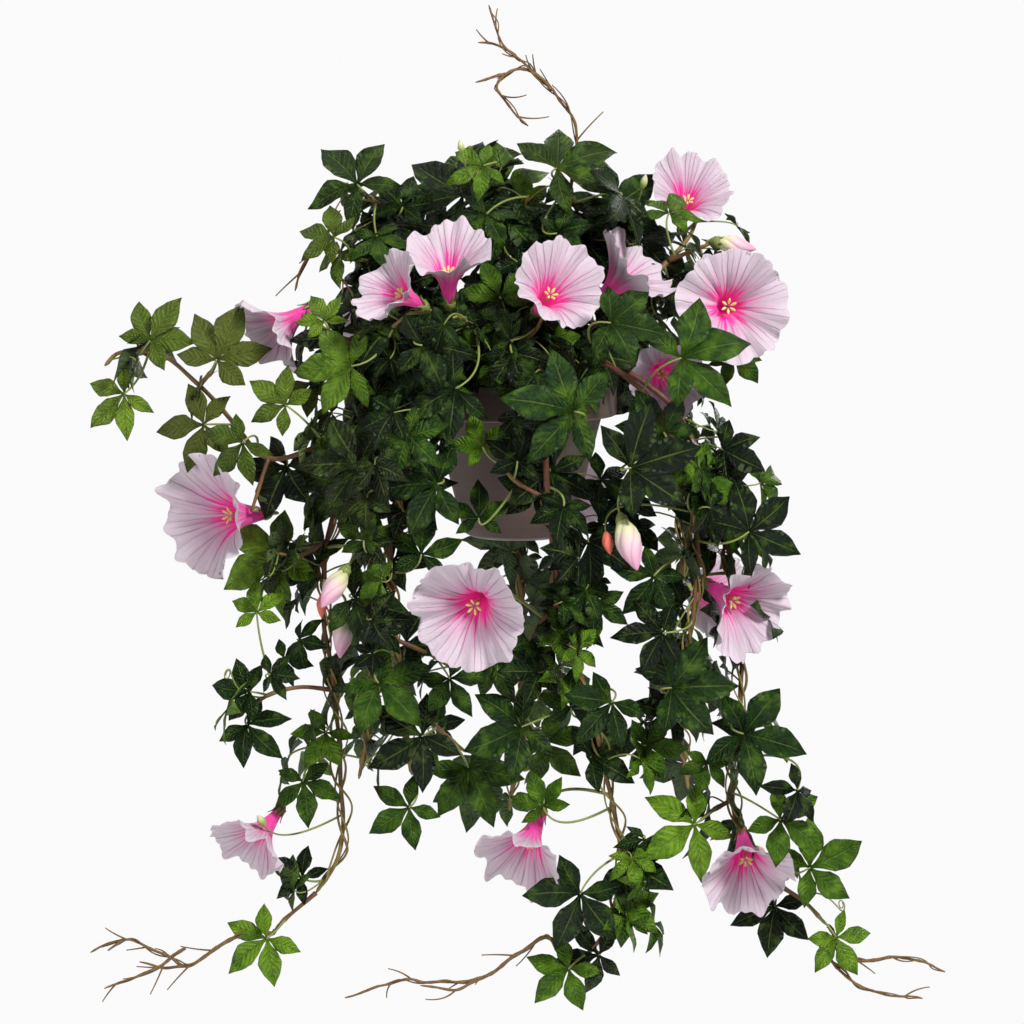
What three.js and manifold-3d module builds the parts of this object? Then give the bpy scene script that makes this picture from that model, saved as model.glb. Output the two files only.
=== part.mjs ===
// Trailing petunia bush in a tapered plastic pot, made to hang. Millimetres, +Z up.
// The origin is the centre of the pot's flat base, which sits in the hanger.
import * as THREE from 'three';
import { mergeVertices } from 'three/addons/utils/BufferGeometryUtils.js';
import Module from 'manifold-3d';

const wasm = await Module();
wasm.setup();

// ---- driving dimensions ----
const POT_HEIGHT = 119;
const POT_RIM_RADIUS = 75;
const POT_BAND_HEIGHT = 27;
const POT_NECK_RADIUS = 64;
const POT_CORNER_HEIGHT = 9;
const POT_CORNER_RADIUS = 42.5;
const POT_BASE_RADIUS = 36;
const POT_WALL = 2.2;
const POT_SIDES = 24;
const FILLER_SIDES = 16;

const SOIL_TOP = 108;
const SOIL_GAP = 0.35;
const SOIL_SIDE_GAP = 1.3;
const SOIL_EDGE_DROP = 4;
const SOIL_EDGE_WIDTH = 14;
const HOLE_FLOOR = 84;
const HOLE_SIDES = 6;
const ROOT_TOP = 111;

const CANE_RADIUS = 2.5;
const CANE_TIP_RADIUS = 1.6;
const SHOOT_RADIUS = 1.9;
const SHOOT_TIP_RADIUS = 1.4;
const CANE_SIDES = 4;
const TWIG_SIDES = 3;
const CANE_STEP = 38;
const BUDS_PER_SPAN = 5;
const ROOT_DEPTH = 3.2;
const SEAT_GAP = 0.3;
const TWIG_LEAD = 5;

const LEAF_THICKNESS = 1.2;
const LEAFLET_LENGTHS = [0.68, 0.9, 1, 0.9, 0.68];
const LEAFLET_HALF_WIDTH = 0.235;
const LEAFLET_SHOULDER = 0.52;
const LEAF_NOTCH = 0.13;
const LEAF_STALK_RADIUS = 0.95;
const LEAF_TRIES = 26;
const LEAF_TRY_STEP = 4;
const LEAF_TRY_SHRINK = 0.012;
const LEAF_CLEARANCE = 0.4;

// what differs from leaf to leaf, each as its least value and its range
const LEAF_LIFT = [4, 20];
const LEAFLET_SPREAD = [52, 13];
const LEAF_DROOP = [0.08, 0.16];
const LEAF_FOLD = [0.2, 0.25];
const FILL_OUT = [14, 16];
const FILL_ALONG = [20, 16];
const FILL_RISE = [-6, 12];
const FILL_REACH = [33, 17];
const FILL_TURN = [30, 55];
// above this height leaves look up more, by so many degrees for each millimetre
const CROWN_HEIGHT = 120;
const CROWN_LIFT = 0.18;

const BLOOM_LENGTH = 1.22;
const BLOOM_WALL = 0.9;
const THROAT = { height: 0.42, radius: 0.21 };
const FLARE = { height: 0.76, radius: 0.44 };
const RIM_POINTS = 20;
const RIM_WAVE = 0.05;
const RIM_RIPPLE = 0.04;
const RIM_LOBE = 0.035;
const STAMEN_REACH = 0.62;
const STAMEN_SPREAD = 0.1;
const STAMEN_FOOT = 2;
const CALYX_RADIUS = 4.9;
const CALYX_TOOTH = 8;
const CALYX_FLARE = 2;
const FLOWER_STALK_RADIUS = 1.2;

const TWIG_RADIUS = 1.7;
const TWIG_TIP_RADIUS = 0.8;

// ---- the bush: where each stem runs and each large leaf sits ----
// canes: the stem from the soil, then its side shoots, as points it runs through
// leaves: hub x, y, z, length of the middle leaflet, its clock direction and the way the leaf faces
// fill: how many more leaves the stem carries by rule, on the side that faces away from its own
const STEMS = {
  top_left: {
    canes: [
      [[-24, 14, 111], [-47, 0, 171], [-70, 10, 212], [-92, 10, 237], [-112, 0, 257]],
      [[-70, 10, 212], [-99, -12, 207], [-126, -20, 211]],
    ],
    leaves: [
      [-119, -20, 265, 47, -40, -12],
      [-86, -5, 248, 32, 10, -5],
      [-104, -35, 227, 31, 165, -10],
      [-133, -35, 222, 34, -75, -20],
    ],
    fill: 1,
  },
  top_mid: {
    canes: [
      [[0, 24, 111], [-10, 20, 177], [-13, 25, 226], [-22, 15, 261], [-30, 0, 276]],
      [[-13, 25, 226], [2, 10, 242], [8, 0, 257]],
    ],
    leaves: [
      [-41, 5, 257, 59, -43, -5],
      [-11, 25, 262, 51, -4, 0],
      [-25, -45, 279, 31, -115, 0],
      [-23, -40, 249, 39, 195, 0],
      [8, -5, 253, 38, -50, 5],
    ],
    fill: 1,
  },
  top_right: {
    canes: [
      [[24, 12, 111], [32, 10, 178], [47, 10, 219], [43, 5, 249], [33, -5, 267]],
      [[47, 10, 219], [62, 20, 232], [79, 25, 239]],
    ],
    leaves: [
      [29, -25, 277, 56, 55, 5],
      [68, 20, 245, 49, 62, 15],
      [29, -50, 232, 30, 75, 0],
      [96, 5, 229, 43, 80, 20],
    ],
    fill: 1,
  },
  right_up: {
    canes: [
      [[41, -4, 111], [50, -20, 153], [87, -25, 180], [112, -15, 208], [129, 0, 226], [135, 5, 238]],
      [[112, -15, 208], [132, -25, 217], [144, -28, 222]],
    ],
    leaves: [
      [117, -40, 204, 41, 150, 15],
      [112, -8, 238, 33, 20, 10],
      [164, -30, 143, 30, 160, 15],
    ],
    fill: 1,
  },
  left_arm: {
    canes: [
      [[-42, -10, 111], [-63, -45, 142], [-101, -70, 112], [-144, -85, 77], [-182, -80, 67],
        [-209, -70, 93], [-234, -60, 119], [-264, -50, 141], [-293, -45, 142], [-306, -45, 132]],
      [[-182, -80, 67], [-189, -85, 44], [-195, -85, 28]],
      [[-234, -60, 119], [-224, -70, 129], [-220, -72, 137]],
    ],
    leaves: [
      [-269, -65, 152, 39, 34, -10],
      [-292, -60, 115, 38, -140, -12],
      [-219, -80, 139, 45, 23, -10],
      [-167, -105, 108, 33, -57, -5],
      [-228, -85, 92, 41, -95, -12],
      [-196, -100, 79, 36, -150, -8],
    ],
    fill: 1,
  },
  left_up: {
    canes: [
      [[-44, 8, 111], [-69, -30, 150], [-104, -75, 149], [-132, -85, 157], [-154, -75, 171]],
      [[-104, -75, 149], [-88, -95, 165], [-77, -100, 175]],
    ],
    leaves: [
      [-119, -115, 137, 45, -95, -8],
      [-139, -100, 168, 26, -30, -15],
      [-157, -95, 131, 35, -120, -15],
    ],
    fill: 1,
  },
  front_mid: {
    canes: [
      [[-14, -30, 111], [-17, -65, 145], [-31, -85, 162], [-44, -92, 173]],
      [[-17, -65, 145], [9, -85, 157], [20, -90, 174]],
    ],
    leaves: [
      [-13, -60, 184, 34, -20, 0],
      [-44, -130, 122, 44, -120, -5],
      [-68, -120, 152, 42, 95, 0],
      [-4, -115, 147, 35, 150, 0],
    ],
    fill: 0,
  },
  front_left: {
    canes: [
      [[-32, -28, 111], [-51, -80, 134], [-66, -115, 102], [-83, -118, 55], [-92, -110, -4],
        [-88, -105, -63], [-84, -102, -112], [-77, -98, -165]],
      [[-88, -105, -63], [-64, -105, -74], [-48, -105, -84]],
      [[-84, -102, -112], [-57, -95, -132], [-38, -88, -150]],
    ],
    leaves: [
      [-57, -140, 55, 48, -95, -3],
      [-115, -130, 70, 51, -98, -8],
      [-131, -105, 52, 49, -140, -10],
      [-110, -130, 13, 27, 5, -5],
      [-69, -132, 3, 36, 10, 0],
      [-119, -118, -30, 45, 110, -5],
      [-100, -128, -91, 44, 135, -3],
      [-49, -125, -88, 32, 150, 0],
      [-69, -122, -131, 46, -119, 0],
      [-79, -112, -186, 35, -125, 0],
      [-36, -95, -160, 47, 158, 0],
    ],
    fill: 0,
  },
  left_trail: {
    canes: [
      [[-46, -24, 111], [-60, -55, 136], [-94, -62, 101], [-125, -68, 57], [-140, -70, 5],
        [-143, -72, -47], [-135, -75, -113], [-131, -75, -174], [-132, -72, -228], [-151, -70, -261]],
      [[-140, -70, 5], [-160, -78, -5], [-177, -82, -3]],
      [[-135, -75, -106], [-162, -80, -103], [-185, -84, -109], [-197, -85, -121]],
      [[-151, -70, -261], [-170, -72, -277], [-181, -74, -288]],
    ],
    leaves: [
      [-196, -92, -104, 32, -85, -15],
      [-199, -90, -129, 35, 132, -6],
      [-141, -90, -135, 31, -150, -5],
      [-158, -88, -172, 34, 172, -10],
      [-160, -80, -247, 29, -60, -10],
      [-186, -82, -293, 40, -122, -4],
      [-183, -92, 0, 62, -128, -15],
      [-191, -88, -46, 28, -10, -15],
      [-180, -92, -75, 28, 95, -15],
    ],
    fill: 1,
  },
  centre_trail: {
    canes: [
      [[10, -44, 111], [14, -88, 138], [20, -112, 98], [22, -116, 41], [32, -108, -33],
        [47, -103, -93], [60, -100, -142], [69, -98, -184], [77, -95, -230], [69, -92, -280]],
      [[22, -116, 41], [2, -118, 52], [-13, -118, 68]],
      [[32, -108, -33], [9, -100, -64], [2, -98, -102]],
      [[69, -92, -280], [55, -92, -299], [43, -92, -308]],
    ],
    leaves: [
      [-28, -120, 28, 29, 0, 0],
      [33, -132, 38, 30, 190, 0],
      [51, -120, 11, 40, 178, 0],
      [57, -122, -33, 32, 185, 0],
      [39, -120, -111, 30, 0, 0],
      [68, -132, -104, 39, -140, 0],
      [3, -118, -125, 46, -112, 0],
      [4, -85, -88, 32, 110, 0],
      [20, -85, -143, 38, 135, 0],
      [19, -112, -186, 29, -20, 0],
      [46, -112, -250, 48, -147, 0],
      [77, -102, -263, 33, 127, 0],
      [38, -98, -311, 36, -138, 0],
      [40, -155, 108, 54, -78, 0],
      [0, -132, 69, 33, 5, 0],
      [-25, -126, 80, 26, -20, 0],
    ],
    fill: 0,
  },
  right_front: {
    canes: [
      [[30, -34, 111], [58, -80, 139], [88, -100, 120], [109, -105, 89], [125, -100, 45],
        [131, -96, -6], [125, -95, -65], [113, -95, -110], [101, -92, -138]],
    ],
    leaves: [
      [116, -135, 144, 54, 73, 5],
      [66, -130, 165, 43, 100, 0],
      [80, -145, 67, 54, 72, 5],
      [104, -132, 91, 39, -25, 5],
      [124, -115, 46, 45, 26, 10],
      [160, -105, 9, 54, 50, 12],
      [148, -95, 53, 25, 20, 12],
      [99, -125, -13, 37, -150, 5],
      [104, -132, -54, 37, -85, 5],
      [111, -130, -94, 50, 88, 5],
      [94, -112, -140, 32, 95, 5],
    ],
    fill: 0,
  },
  right_trail: {
    canes: [
      [[47, -18, 111], [65, -45, 133], [105, -58, 112], [139, -65, 57], [157, -70, -9],
        [166, -72, -76], [163, -75, -143], [159, -78, -188], [171, -80, -222], [197, -80, -254]],
      [[159, -78, -188], [143, -82, -196], [134, -86, -203]],
      [[197, -80, -254], [216, -80, -267], [231, -80, -283]],
    ],
    leaves: [
      [139, -104, -154, 25, -165, 5],
      [130, -102, -201, 46, -125, 3],
      [184, -115, -198, 48, 133, 8],
      [214, -112, -231, 43, 63, 10],
      [236, -95, -288, 33, 150, 10],
      [192, -92, -264, 41, 182, 5],
      [164, -108, -133, 51, 116, 8],
    ],
    fill: 1,
  },
  back_left: {
    canes: [
      [[-30, 32, 111], [-62, 70, 140], [-95, 100, 110], [-115, 118, 50], [-120, 125, -20],
        [-112, 128, -90], [-118, 122, -160], [-128, 118, -215]],
      [[-62, 70, 140], [-85, 95, 175], [-100, 105, 205]],
    ],
    leaves: [],
    fill: 6,
  },
  back_mid: {
    canes: [
      [[2, 48, 111], [10, 90, 140], [12, 128, 105], [8, 145, 40], [0, 150, -40],
        [10, 148, -115], [0, 142, -185], [-6, 138, -245]],
      [[10, 90, 140], [5, 110, 180], [0, 115, 220]],
    ],
    leaves: [],
    fill: 6,
  },
  back_right: {
    canes: [
      [[44, 24, 111], [76, 58, 138], [108, 84, 105], [128, 100, 45], [132, 110, -30],
        [122, 115, -100], [130, 108, -170], [138, 104, -220]],
      [[76, 58, 138], [100, 80, 172], [112, 92, 205]],
    ],
    leaves: [],
    fill: 6,
  },
};

// open blooms: centre of the mouth x, y, z, the way it faces, how far up it looks, mouth radius, stem
const BLOOMS = [
  [132, 15, 264, 12, 40, 36, 'right_up'],
  [157, -75, 178, 5, 4, 44, 'right_up'],
  [90, -55, 210, 64, 42, 40, 'right_up'],
  [31, -105, 197, 25, 30, 40, 'top_right'],
  [-51, -95, 221, -5, 66, 38, 'front_mid'],
  [-95, -128, 196, -50, 25, 33, 'left_up'],
  [-185, -70, 154, -60, -30, 37, 'left_up'],
  [-229, -95, 26, -48, 3, 48, 'left_arm'],
  [-36, -172, -36, -14, -12, 44, 'centre_trail'],
  [170, -115, -43, 40, -20, 42, 'right_trail'],
  [-200, -95, -222, -42, -35, 35, 'left_trail'],
  [0, -115, -229, -32, -45, 40, 'centre_trail'],
  [168, -130, -236, 3, -34, 40, 'right_trail'],
  [112, -30, 119, 12, -15, 34, 'right_up'],
  [-120, 150, 150, 215, 20, 40, 'back_left'],
  [40, 195, 10, 172, 0, 42, 'back_mid'],
  [165, 145, -70, 140, -15, 40, 'back_right'],
];

// closed buds: foot x, y, z, the way it points, how far up, length, stem
const BUDS = [
  [147, -30, 223, 75, -10, 30, 'right_up'],
  [74, -140, 30, 30, -58, 40, 'right_front'],
  [-124, -120, -10, -42, -45, 34, 'left_trail'],
  [-126, -95, -46, -20, -72, 32, 'left_trail'],
];

// bare woody twigs: what the first one grows on from, then the points each one runs through
const TWIGS = {
  top_twigs: {
    hole: [20, 36],
    canes: [
      [[20, 36, 111], [32, 30, 215], [45, 20, 298], [26, 15, 335], [2, 10, 357], [-13, 5, 372],
        [-21, 0, 397]],
      [[26, 15, 335], [9, 10, 350], [-9, 5, 347], [-15, 0, 336], [-4, -5, 320], [8, -5, 308]],
      [[-9, 5, 347], [-31, 0, 341]],
      [[2, 10, 357], [-15, 12, 369], [-30, 12, 370]],
    ],
  },
  left_loop_twigs: {
    stem: 'top_left', shoot: 1,
    canes: [
      [[-134, -22, 217], [-143, -25, 220], [-158, -25, 208], [-166, -25, 186]],
      [[-134, -22, 217], [-138, -20, 208], [-128, -25, 191], [-121, -28, 180]],
      [[-143, -25, 220], [-139, -22, 235], [-132, -20, 246]],
    ],
  },
  lower_left_twigs: {
    stem: 'left_trail', shoot: 3,
    canes: [
      [[-196, -76, -288], [-222, -78, -299], [-245, -80, -314], [-263, -80, -306], [-293, -80, -294],
        [-319, -80, -304]],
      [[-245, -80, -314], [-263, -82, -315], [-282, -82, -311]],
      [[-293, -80, -294], [-305, -82, -302]],
    ],
  },
  lower_centre_twigs: {
    stem: 'centre_trail', shoot: 3,
    canes: [
      [[23, -90, -290], [2, -90, -301], [-28, -90, -321], [-65, -92, -323], [-87, -92, -322],
        [-128, -92, -335]],
      [[-28, -90, -321], [-46, -95, -328], [-72, -96, -324]],
    ],
  },
  lower_right_twigs: {
    stem: 'right_trail', shoot: 2,
    canes: [
      [[248, -80, -309], [289, -82, -307], [319, -84, -317]],
    ],
  },
};

// ---- colours and finishes ----
const finish = (color, roughness) => new THREE.MeshStandardMaterial({ color, roughness, metalness: 0 });
const POT_FINISH = finish(0x6a5850, 0.45);
const SOIL_FINISH = finish(0x2a221c, 0.95);
const LEAF_FINISH = finish(0x2f5a30, 0.55);
const PETAL_FINISH = finish(0xe2bfd4, 0.6);
const STAMEN_FINISH = finish(0xe8d27a, 0.6);
const BUD_FINISH = finish(0xe6c3c8, 0.6);
const TWIG_FINISH = finish(0x4b3723, 0.8);

// ---- small helpers ----
const DEGREE = Math.PI / 180;
const vector = (p) => new THREE.Vector3(p[0], p[1], p[2]);

// The direction for a facing (0 is the front, towards -Y, and 90 is +X) and a lift above level.
function aim(facing, lift) {
  const across = Math.cos(lift * DEGREE);
  return new THREE.Vector3(Math.sin(facing * DEGREE) * across, -Math.cos(facing * DEGREE) * across,
    Math.sin(lift * DEGREE));
}

// A seeded stream of numbers from 0 to 1.
function dice(seed) {
  let state = seed * 7919 + 17;
  return () => {
    state = (state * 16807) % 2147483647;
    return state / 2147483647;
  };
}

// A chance value from its least value and its range.
const between = ([least, range], roll) => least + range * roll();

// The point at t, from 0 to 1, on the smooth curve through the points (uniform Catmull-Rom).
function onCurve(points, t) {
  const last = points.length - 1;
  const i = Math.min(Math.floor(t * last), last - 1);
  const u = t * last - i;
  const p = (k) => {
    if (k < 0) return points[0].clone().multiplyScalar(2).sub(points[1]);
    if (k > last) return points[last].clone().multiplyScalar(2).sub(points[last - 1]);
    return points[k];
  };
  const weights = [
    -u + 2 * u * u - u ** 3,
    2 - 5 * u * u + 3 * u ** 3,
    u + 4 * u * u - 3 * u ** 3,
    u ** 3 - u * u,
  ];
  const out = new THREE.Vector3();
  weights.forEach((w, k) => out.addScaledVector(p(i - 1 + k), w / 2));
  return out;
}

function geometryOf(vertices, faces) {
  const geometry = new THREE.BufferGeometry();
  const places = vertices.flatMap((v) => [v.x, v.y, v.z]);
  geometry.setAttribute('position', new THREE.Float32BufferAttribute(places, 3));
  geometry.setIndex(faces.flat());
  return geometry;
}

// A closed skin over rings of points, each ring with as many points as the last, twice or half.
function skin(rings) {
  const vertices = rings.flat();
  const faces = [];
  let start = 0;
  const cap = (first, count, forward) => {
    for (let k = 1; k < count - 1; k += 1) {
      faces.push(forward ? [first, first + k, first + k + 1] : [first, first + k + 1, first + k]);
    }
  };
  cap(0, rings[0].length, false);
  for (let r = 0; r + 1 < rings.length; r += 1) {
    const m = rings[r].length;
    const n = rings[r + 1].length;
    const a = (k) => start + (k % m);
    const b = (k) => start + m + (k % n);
    const fan = m === 1 ? n : Math.min(m, n);
    for (let k = 0; k < fan; k += 1) {
      if (m === 1) {
        faces.push([start, b(k + 1), b(k)]);
      } else if (n === m) {
        faces.push([a(k), a(k + 1), b(k + 1)], [a(k), b(k + 1), b(k)]);
      } else if (n === 2 * m) {
        faces.push([a(k), b(2 * k + 1), b(2 * k)], [a(k), a(k + 1), b(2 * k + 1)],
          [a(k + 1), b(2 * k + 2), b(2 * k + 1)]);
      } else {
        faces.push([a(2 * k), a(2 * k + 1), b(k)], [a(2 * k + 1), b(k + 1), b(k)],
          [a(2 * k + 1), a(2 * k + 2), b(k + 1)]);
      }
    }
    start += m;
  }
  cap(start, rings[rings.length - 1].length, true);
  return geometryOf(vertices, faces);
}

// A ring of points round a centre, in the plane of two directions.
function ring(centre, e1, e2, radius, count) {
  return Array.from({ length: count }, (_, k) => {
    const angle = (2 * Math.PI * k) / count;
    const [out, up] = [radius * Math.cos(angle), radius * Math.sin(angle)];
    return centre.clone().addScaledVector(e1, out).addScaledVector(e2, up);
  });
}

// Two directions square to an axis and to each other, so that e1, e2 and the axis are right-handed.
function across(axis) {
  const guide = Math.abs(axis.z) < 0.9 ? new THREE.Vector3(0, 0, 1) : new THREE.Vector3(1, 0, 0);
  const e1 = new THREE.Vector3().crossVectors(guide, axis).normalize();
  return [e1, new THREE.Vector3().crossVectors(axis, e1)];
}

// The rings of a round rod along a chain of points, its radius going evenly from r0 to r1.
function rodRings(points, r0, r1, sides) {
  const last = points.length - 1;
  let e1 = null;
  return points.map((centre, k) => {
    const back = points[Math.max(k - 1, 0)];
    const ahead = points[Math.min(k + 1, last)];
    const along = ahead.clone().sub(back).normalize();
    e1 = e1 ? e1.clone().addScaledVector(along, -e1.dot(along)).normalize() : across(along)[0];
    const e2 = new THREE.Vector3().crossVectors(along, e1);
    return ring(centre, e1, e2, r0 + ((r1 - r0) * k) / last, sides);
  });
}

// Points along a smooth curve, at its own points and about CANE_STEP apart between them.
function chain(points) {
  const last = points.length - 1;
  const path = [points[0]];
  for (let k = 0; k < last; k += 1) {
    const spans = Math.max(1, Math.round(points[k].distanceTo(points[k + 1]) / CANE_STEP));
    for (let j = 1; j <= spans; j += 1) path.push(onCurve(points, (k + j / spans) / last));
  }
  return path;
}

// The library's solid for a closed geometry, its shared points merged.
function solid(geometry) {
  const bare = geometry.clone();
  bare.deleteAttribute('normal');
  bare.deleteAttribute('uv');
  const merged = mergeVertices(bare, 1e-5);
  return new wasm.Manifold(new wasm.Mesh({
    numProp: 3,
    vertProperties: Float32Array.from(merged.attributes.position.array),
    triVerts: Uint32Array.from(merged.index.array),
  }));
}

function geometryOfSolid(body) {
  const mesh = body.getMesh();
  const geometry = new THREE.BufferGeometry();
  geometry.setAttribute('position', new THREE.Float32BufferAttribute(mesh.vertProperties, 3));
  geometry.setIndex(Array.from(mesh.triVerts));
  return geometry;
}

const part = new THREE.Group();

function addPiece(name, geometry, material) {
  const mesh = new THREE.Mesh(geometry, material);
  mesh.name = name;
  part.add(mesh);
}

// ---- what already fills the room, so that nothing grows through anything else ----
const CELL = 24;
const room = new Map();

function trianglesOf(geometry) {
  const position = geometry.attributes.position;
  const index = geometry.index.array;
  const triangles = [];
  for (let k = 0; k < index.length; k += 3) {
    const corners = [0, 1, 2].map((c) => new THREE.Vector3().fromBufferAttribute(position, index[k + c]));
    triangles.push({ corners, box: new THREE.Box3().setFromPoints(corners) });
  }
  return triangles;
}

function cellsOf(box) {
  const cells = [];
  const low = box.min.clone().divideScalar(CELL).floor();
  const high = box.max.clone().divideScalar(CELL).floor();
  for (let x = low.x; x <= high.x; x += 1) {
    for (let y = low.y; y <= high.y; y += 1) {
      for (let z = low.z; z <= high.z; z += 1) cells.push(`${x},${y},${z}`);
    }
  }
  return cells;
}

function occupy(geometry, owner) {
  for (const triangle of trianglesOf(geometry)) {
    triangle.owner = owner;
    for (const cell of cellsOf(triangle.box)) {
      if (!room.has(cell)) room.set(cell, []);
      room.get(cell).push(triangle);
    }
  }
}

const ray = new THREE.Ray();
const met = new THREE.Vector3();

// Whether an edge of one triangle goes through another triangle.
function pierces(one, other) {
  for (let k = 0; k < 3; k += 1) {
    const from = one.corners[k];
    const to = one.corners[(k + 1) % 3];
    ray.origin.copy(from);
    ray.direction.copy(to).sub(from);
    const length = ray.direction.length();
    ray.direction.divideScalar(length);
    const [a, b, c] = other.corners;
    if (ray.intersectTriangle(a, b, c, false, met) && met.distanceTo(from) <= length) return true;
  }
  return false;
}

// The owner of something that a geometry goes through, or null; the owners in skip don't count.
function blockedBy(geometry, skip) {
  for (const triangle of trianglesOf(geometry)) {
    const seen = new Set();
    for (const cell of cellsOf(triangle.box)) {
      for (const other of room.get(cell) ?? []) {
        if (seen.has(other) || skip.includes(other.owner)) continue;
        seen.add(other);
        if (!other.box.intersectsBox(triangle.box)) continue;
        if (pierces(triangle, other) || pierces(other, triangle)) return other.owner;
      }
    }
  }
  return null;
}

// ---- pot: a thin-walled shell with a deep rim band that steps out to a flat ledge ----
const bandFoot = POT_HEIGHT - POT_BAND_HEIGHT;
const potProfile = [
  [0, 0],
  [POT_BASE_RADIUS, 0],
  [POT_BASE_RADIUS + 4, 2.2],
  [POT_CORNER_RADIUS, POT_CORNER_HEIGHT],
  [POT_NECK_RADIUS, bandFoot],
  [POT_RIM_RADIUS - 1, bandFoot],
  [POT_RIM_RADIUS, bandFoot + 1.5],
  [POT_RIM_RADIUS, POT_HEIGHT - 1],
  [POT_RIM_RADIUS - 1, POT_HEIGHT],
  [POT_RIM_RADIUS - POT_WALL, POT_HEIGHT],
  [POT_RIM_RADIUS - POT_WALL, bandFoot + POT_WALL],
  [POT_NECK_RADIUS - POT_WALL, bandFoot + POT_WALL],
  [POT_CORNER_RADIUS - POT_WALL, POT_CORNER_HEIGHT],
  [POT_BASE_RADIUS, POT_WALL],
  [0, POT_WALL],
];

// A closed body turned round the Z axis from a profile that starts and ends on the axis.
function turned(profile, sides) {
  const points = profile.map(([r, z]) => new THREE.Vector2(r, z));
  const geometry = new THREE.LatheGeometry(points, sides);
  geometry.rotateX(Math.PI / 2);
  return geometry;
}

const potGeometry = geometryOfSolid(solid(turned(potProfile, POT_SIDES)));
addPiece('pot', potGeometry, POT_FINISH);
occupy(potGeometry, 'pot');

// ---- filler: the dark plug that fills the pot, with a plain blind hole for each stem ----
const fillerProfile = [
  [0, POT_WALL + SOIL_GAP],
  [POT_BASE_RADIUS - 1, POT_WALL + SOIL_GAP],
  [POT_CORNER_RADIUS - POT_WALL - SOIL_SIDE_GAP, POT_CORNER_HEIGHT + SOIL_GAP],
  [POT_NECK_RADIUS - POT_WALL - SOIL_SIDE_GAP, bandFoot + POT_WALL + SOIL_GAP],
  [POT_RIM_RADIUS - POT_WALL - SOIL_SIDE_GAP, bandFoot + POT_WALL + SOIL_GAP],
  [POT_RIM_RADIUS - POT_WALL - SOIL_SIDE_GAP, SOIL_TOP - SOIL_EDGE_DROP],
  [POT_RIM_RADIUS - SOIL_EDGE_WIDTH, SOIL_TOP],
  [0, SOIL_TOP],
];
const holeRadius = (CANE_RADIUS + SOIL_GAP) / Math.cos(Math.PI / HOLE_SIDES);
const holes = [...Object.values(STEMS).map((stem) => stem.canes[0][0]), TWIGS.top_twigs.canes[0][0]];
let filler = solid(turned(fillerProfile, FILLER_SIDES));
for (const [x, y] of holes) {
  const depth = SOIL_TOP + 2 - (HOLE_FLOOR - SOIL_GAP);
  const bore = new THREE.CylinderGeometry(holeRadius, holeRadius, depth, HOLE_SIDES);
  bore.rotateX(Math.PI / 2).translate(x, y, HOLE_FLOOR - SOIL_GAP + depth / 2);
  filler = filler.subtract(solid(bore));
}
const fillerGeometry = geometryOfSolid(filler);
addPiece('filler', fillerGeometry, SOIL_FINISH);
occupy(fillerGeometry, 'filler');

// ---- stems: round rods from the soil, with side shoots sunk into them ----
// Leaves may grow from BUDS_PER_SPAN places on each straight span of a cane.
function growCanes(name, canes, radii, sides) {
  const samples = [];
  const tips = [];
  let body = null;
  canes.forEach((cane, number) => {
    const points = cane.map(vector);
    const path = chain(points);
    const [before, tip] = path.slice(-2);
    tips.push({ tip, onward: tip.clone().sub(before).normalize() });
    for (let k = 1; k < path.length; k += 1) {
      for (let j = 1; j <= BUDS_PER_SPAN; j += 1) {
        samples.push(path[k - 1].clone().lerp(path[k], (j - 0.5) / BUDS_PER_SPAN));
      }
    }
    if (number === 0 && points[0].z === ROOT_TOP) path.unshift(points[0].clone().setZ(HOLE_FLOOR));
    const [r0, r1] = number === 0 ? radii.slice(0, 2) : radii.slice(2);
    const geometry = skin(rodRings(path, r0, r1, sides));
    occupy(geometry, `${name}.cane`);
    body = body ? body.add(solid(geometry)) : solid(geometry);
  });
  return { body, samples, tips };
}

const CANE_RADII = [CANE_RADIUS, CANE_TIP_RADIUS, SHOOT_RADIUS, SHOOT_TIP_RADIUS];
const grown = {};
for (const [name, stem] of Object.entries(STEMS)) {
  grown[name] = growCanes(name, stem.canes, CANE_RADII, CANE_SIDES);
}

function nearest(samples, point) {
  return samples.reduce((best, s) => (s.distanceTo(point) < best.distanceTo(point) ? s : best));
}

// ---- twigs: thin forked wood, from its own hole or on from the tip of a shoot ----
for (const [name, twig] of Object.entries(TWIGS)) {
  const canes = twig.canes.map((cane) => cane.map((p) => [...p]));
  if (twig.stem) {
    const { tip, onward } = grown[twig.stem].tips[twig.shoot];
    canes[0].unshift(...[SEAT_GAP, TWIG_LEAD].map((d) => tip.clone().addScaledVector(onward, d).toArray()));
  }
  const radii = [TWIG_RADIUS, TWIG_TIP_RADIUS, TWIG_RADIUS * 0.7, TWIG_TIP_RADIUS];
  addPiece(name, geometryOfSolid(growCanes(name, canes, radii, TWIG_SIDES).body), TWIG_FINISH);
}

// ---- blooms: a pleated trumpet, its stamens, and a toothed calyx on a curved stalk ----
// A stalk's middle line, from where it leaves along the way back to its root inside a cane.
function stalkPath(head, back, root) {
  const reach = head.distanceTo(root);
  const bend = head.clone().addScaledVector(back, 0.45 * reach);
  return [0, 0.5, 1 - ROOT_DEPTH / reach, 1].map((t) => {
    const a = head.clone().multiplyScalar((1 - t) ** 2);
    return a.addScaledVector(bend, 2 * t * (1 - t)).addScaledVector(root, t * t);
  });
}

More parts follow.
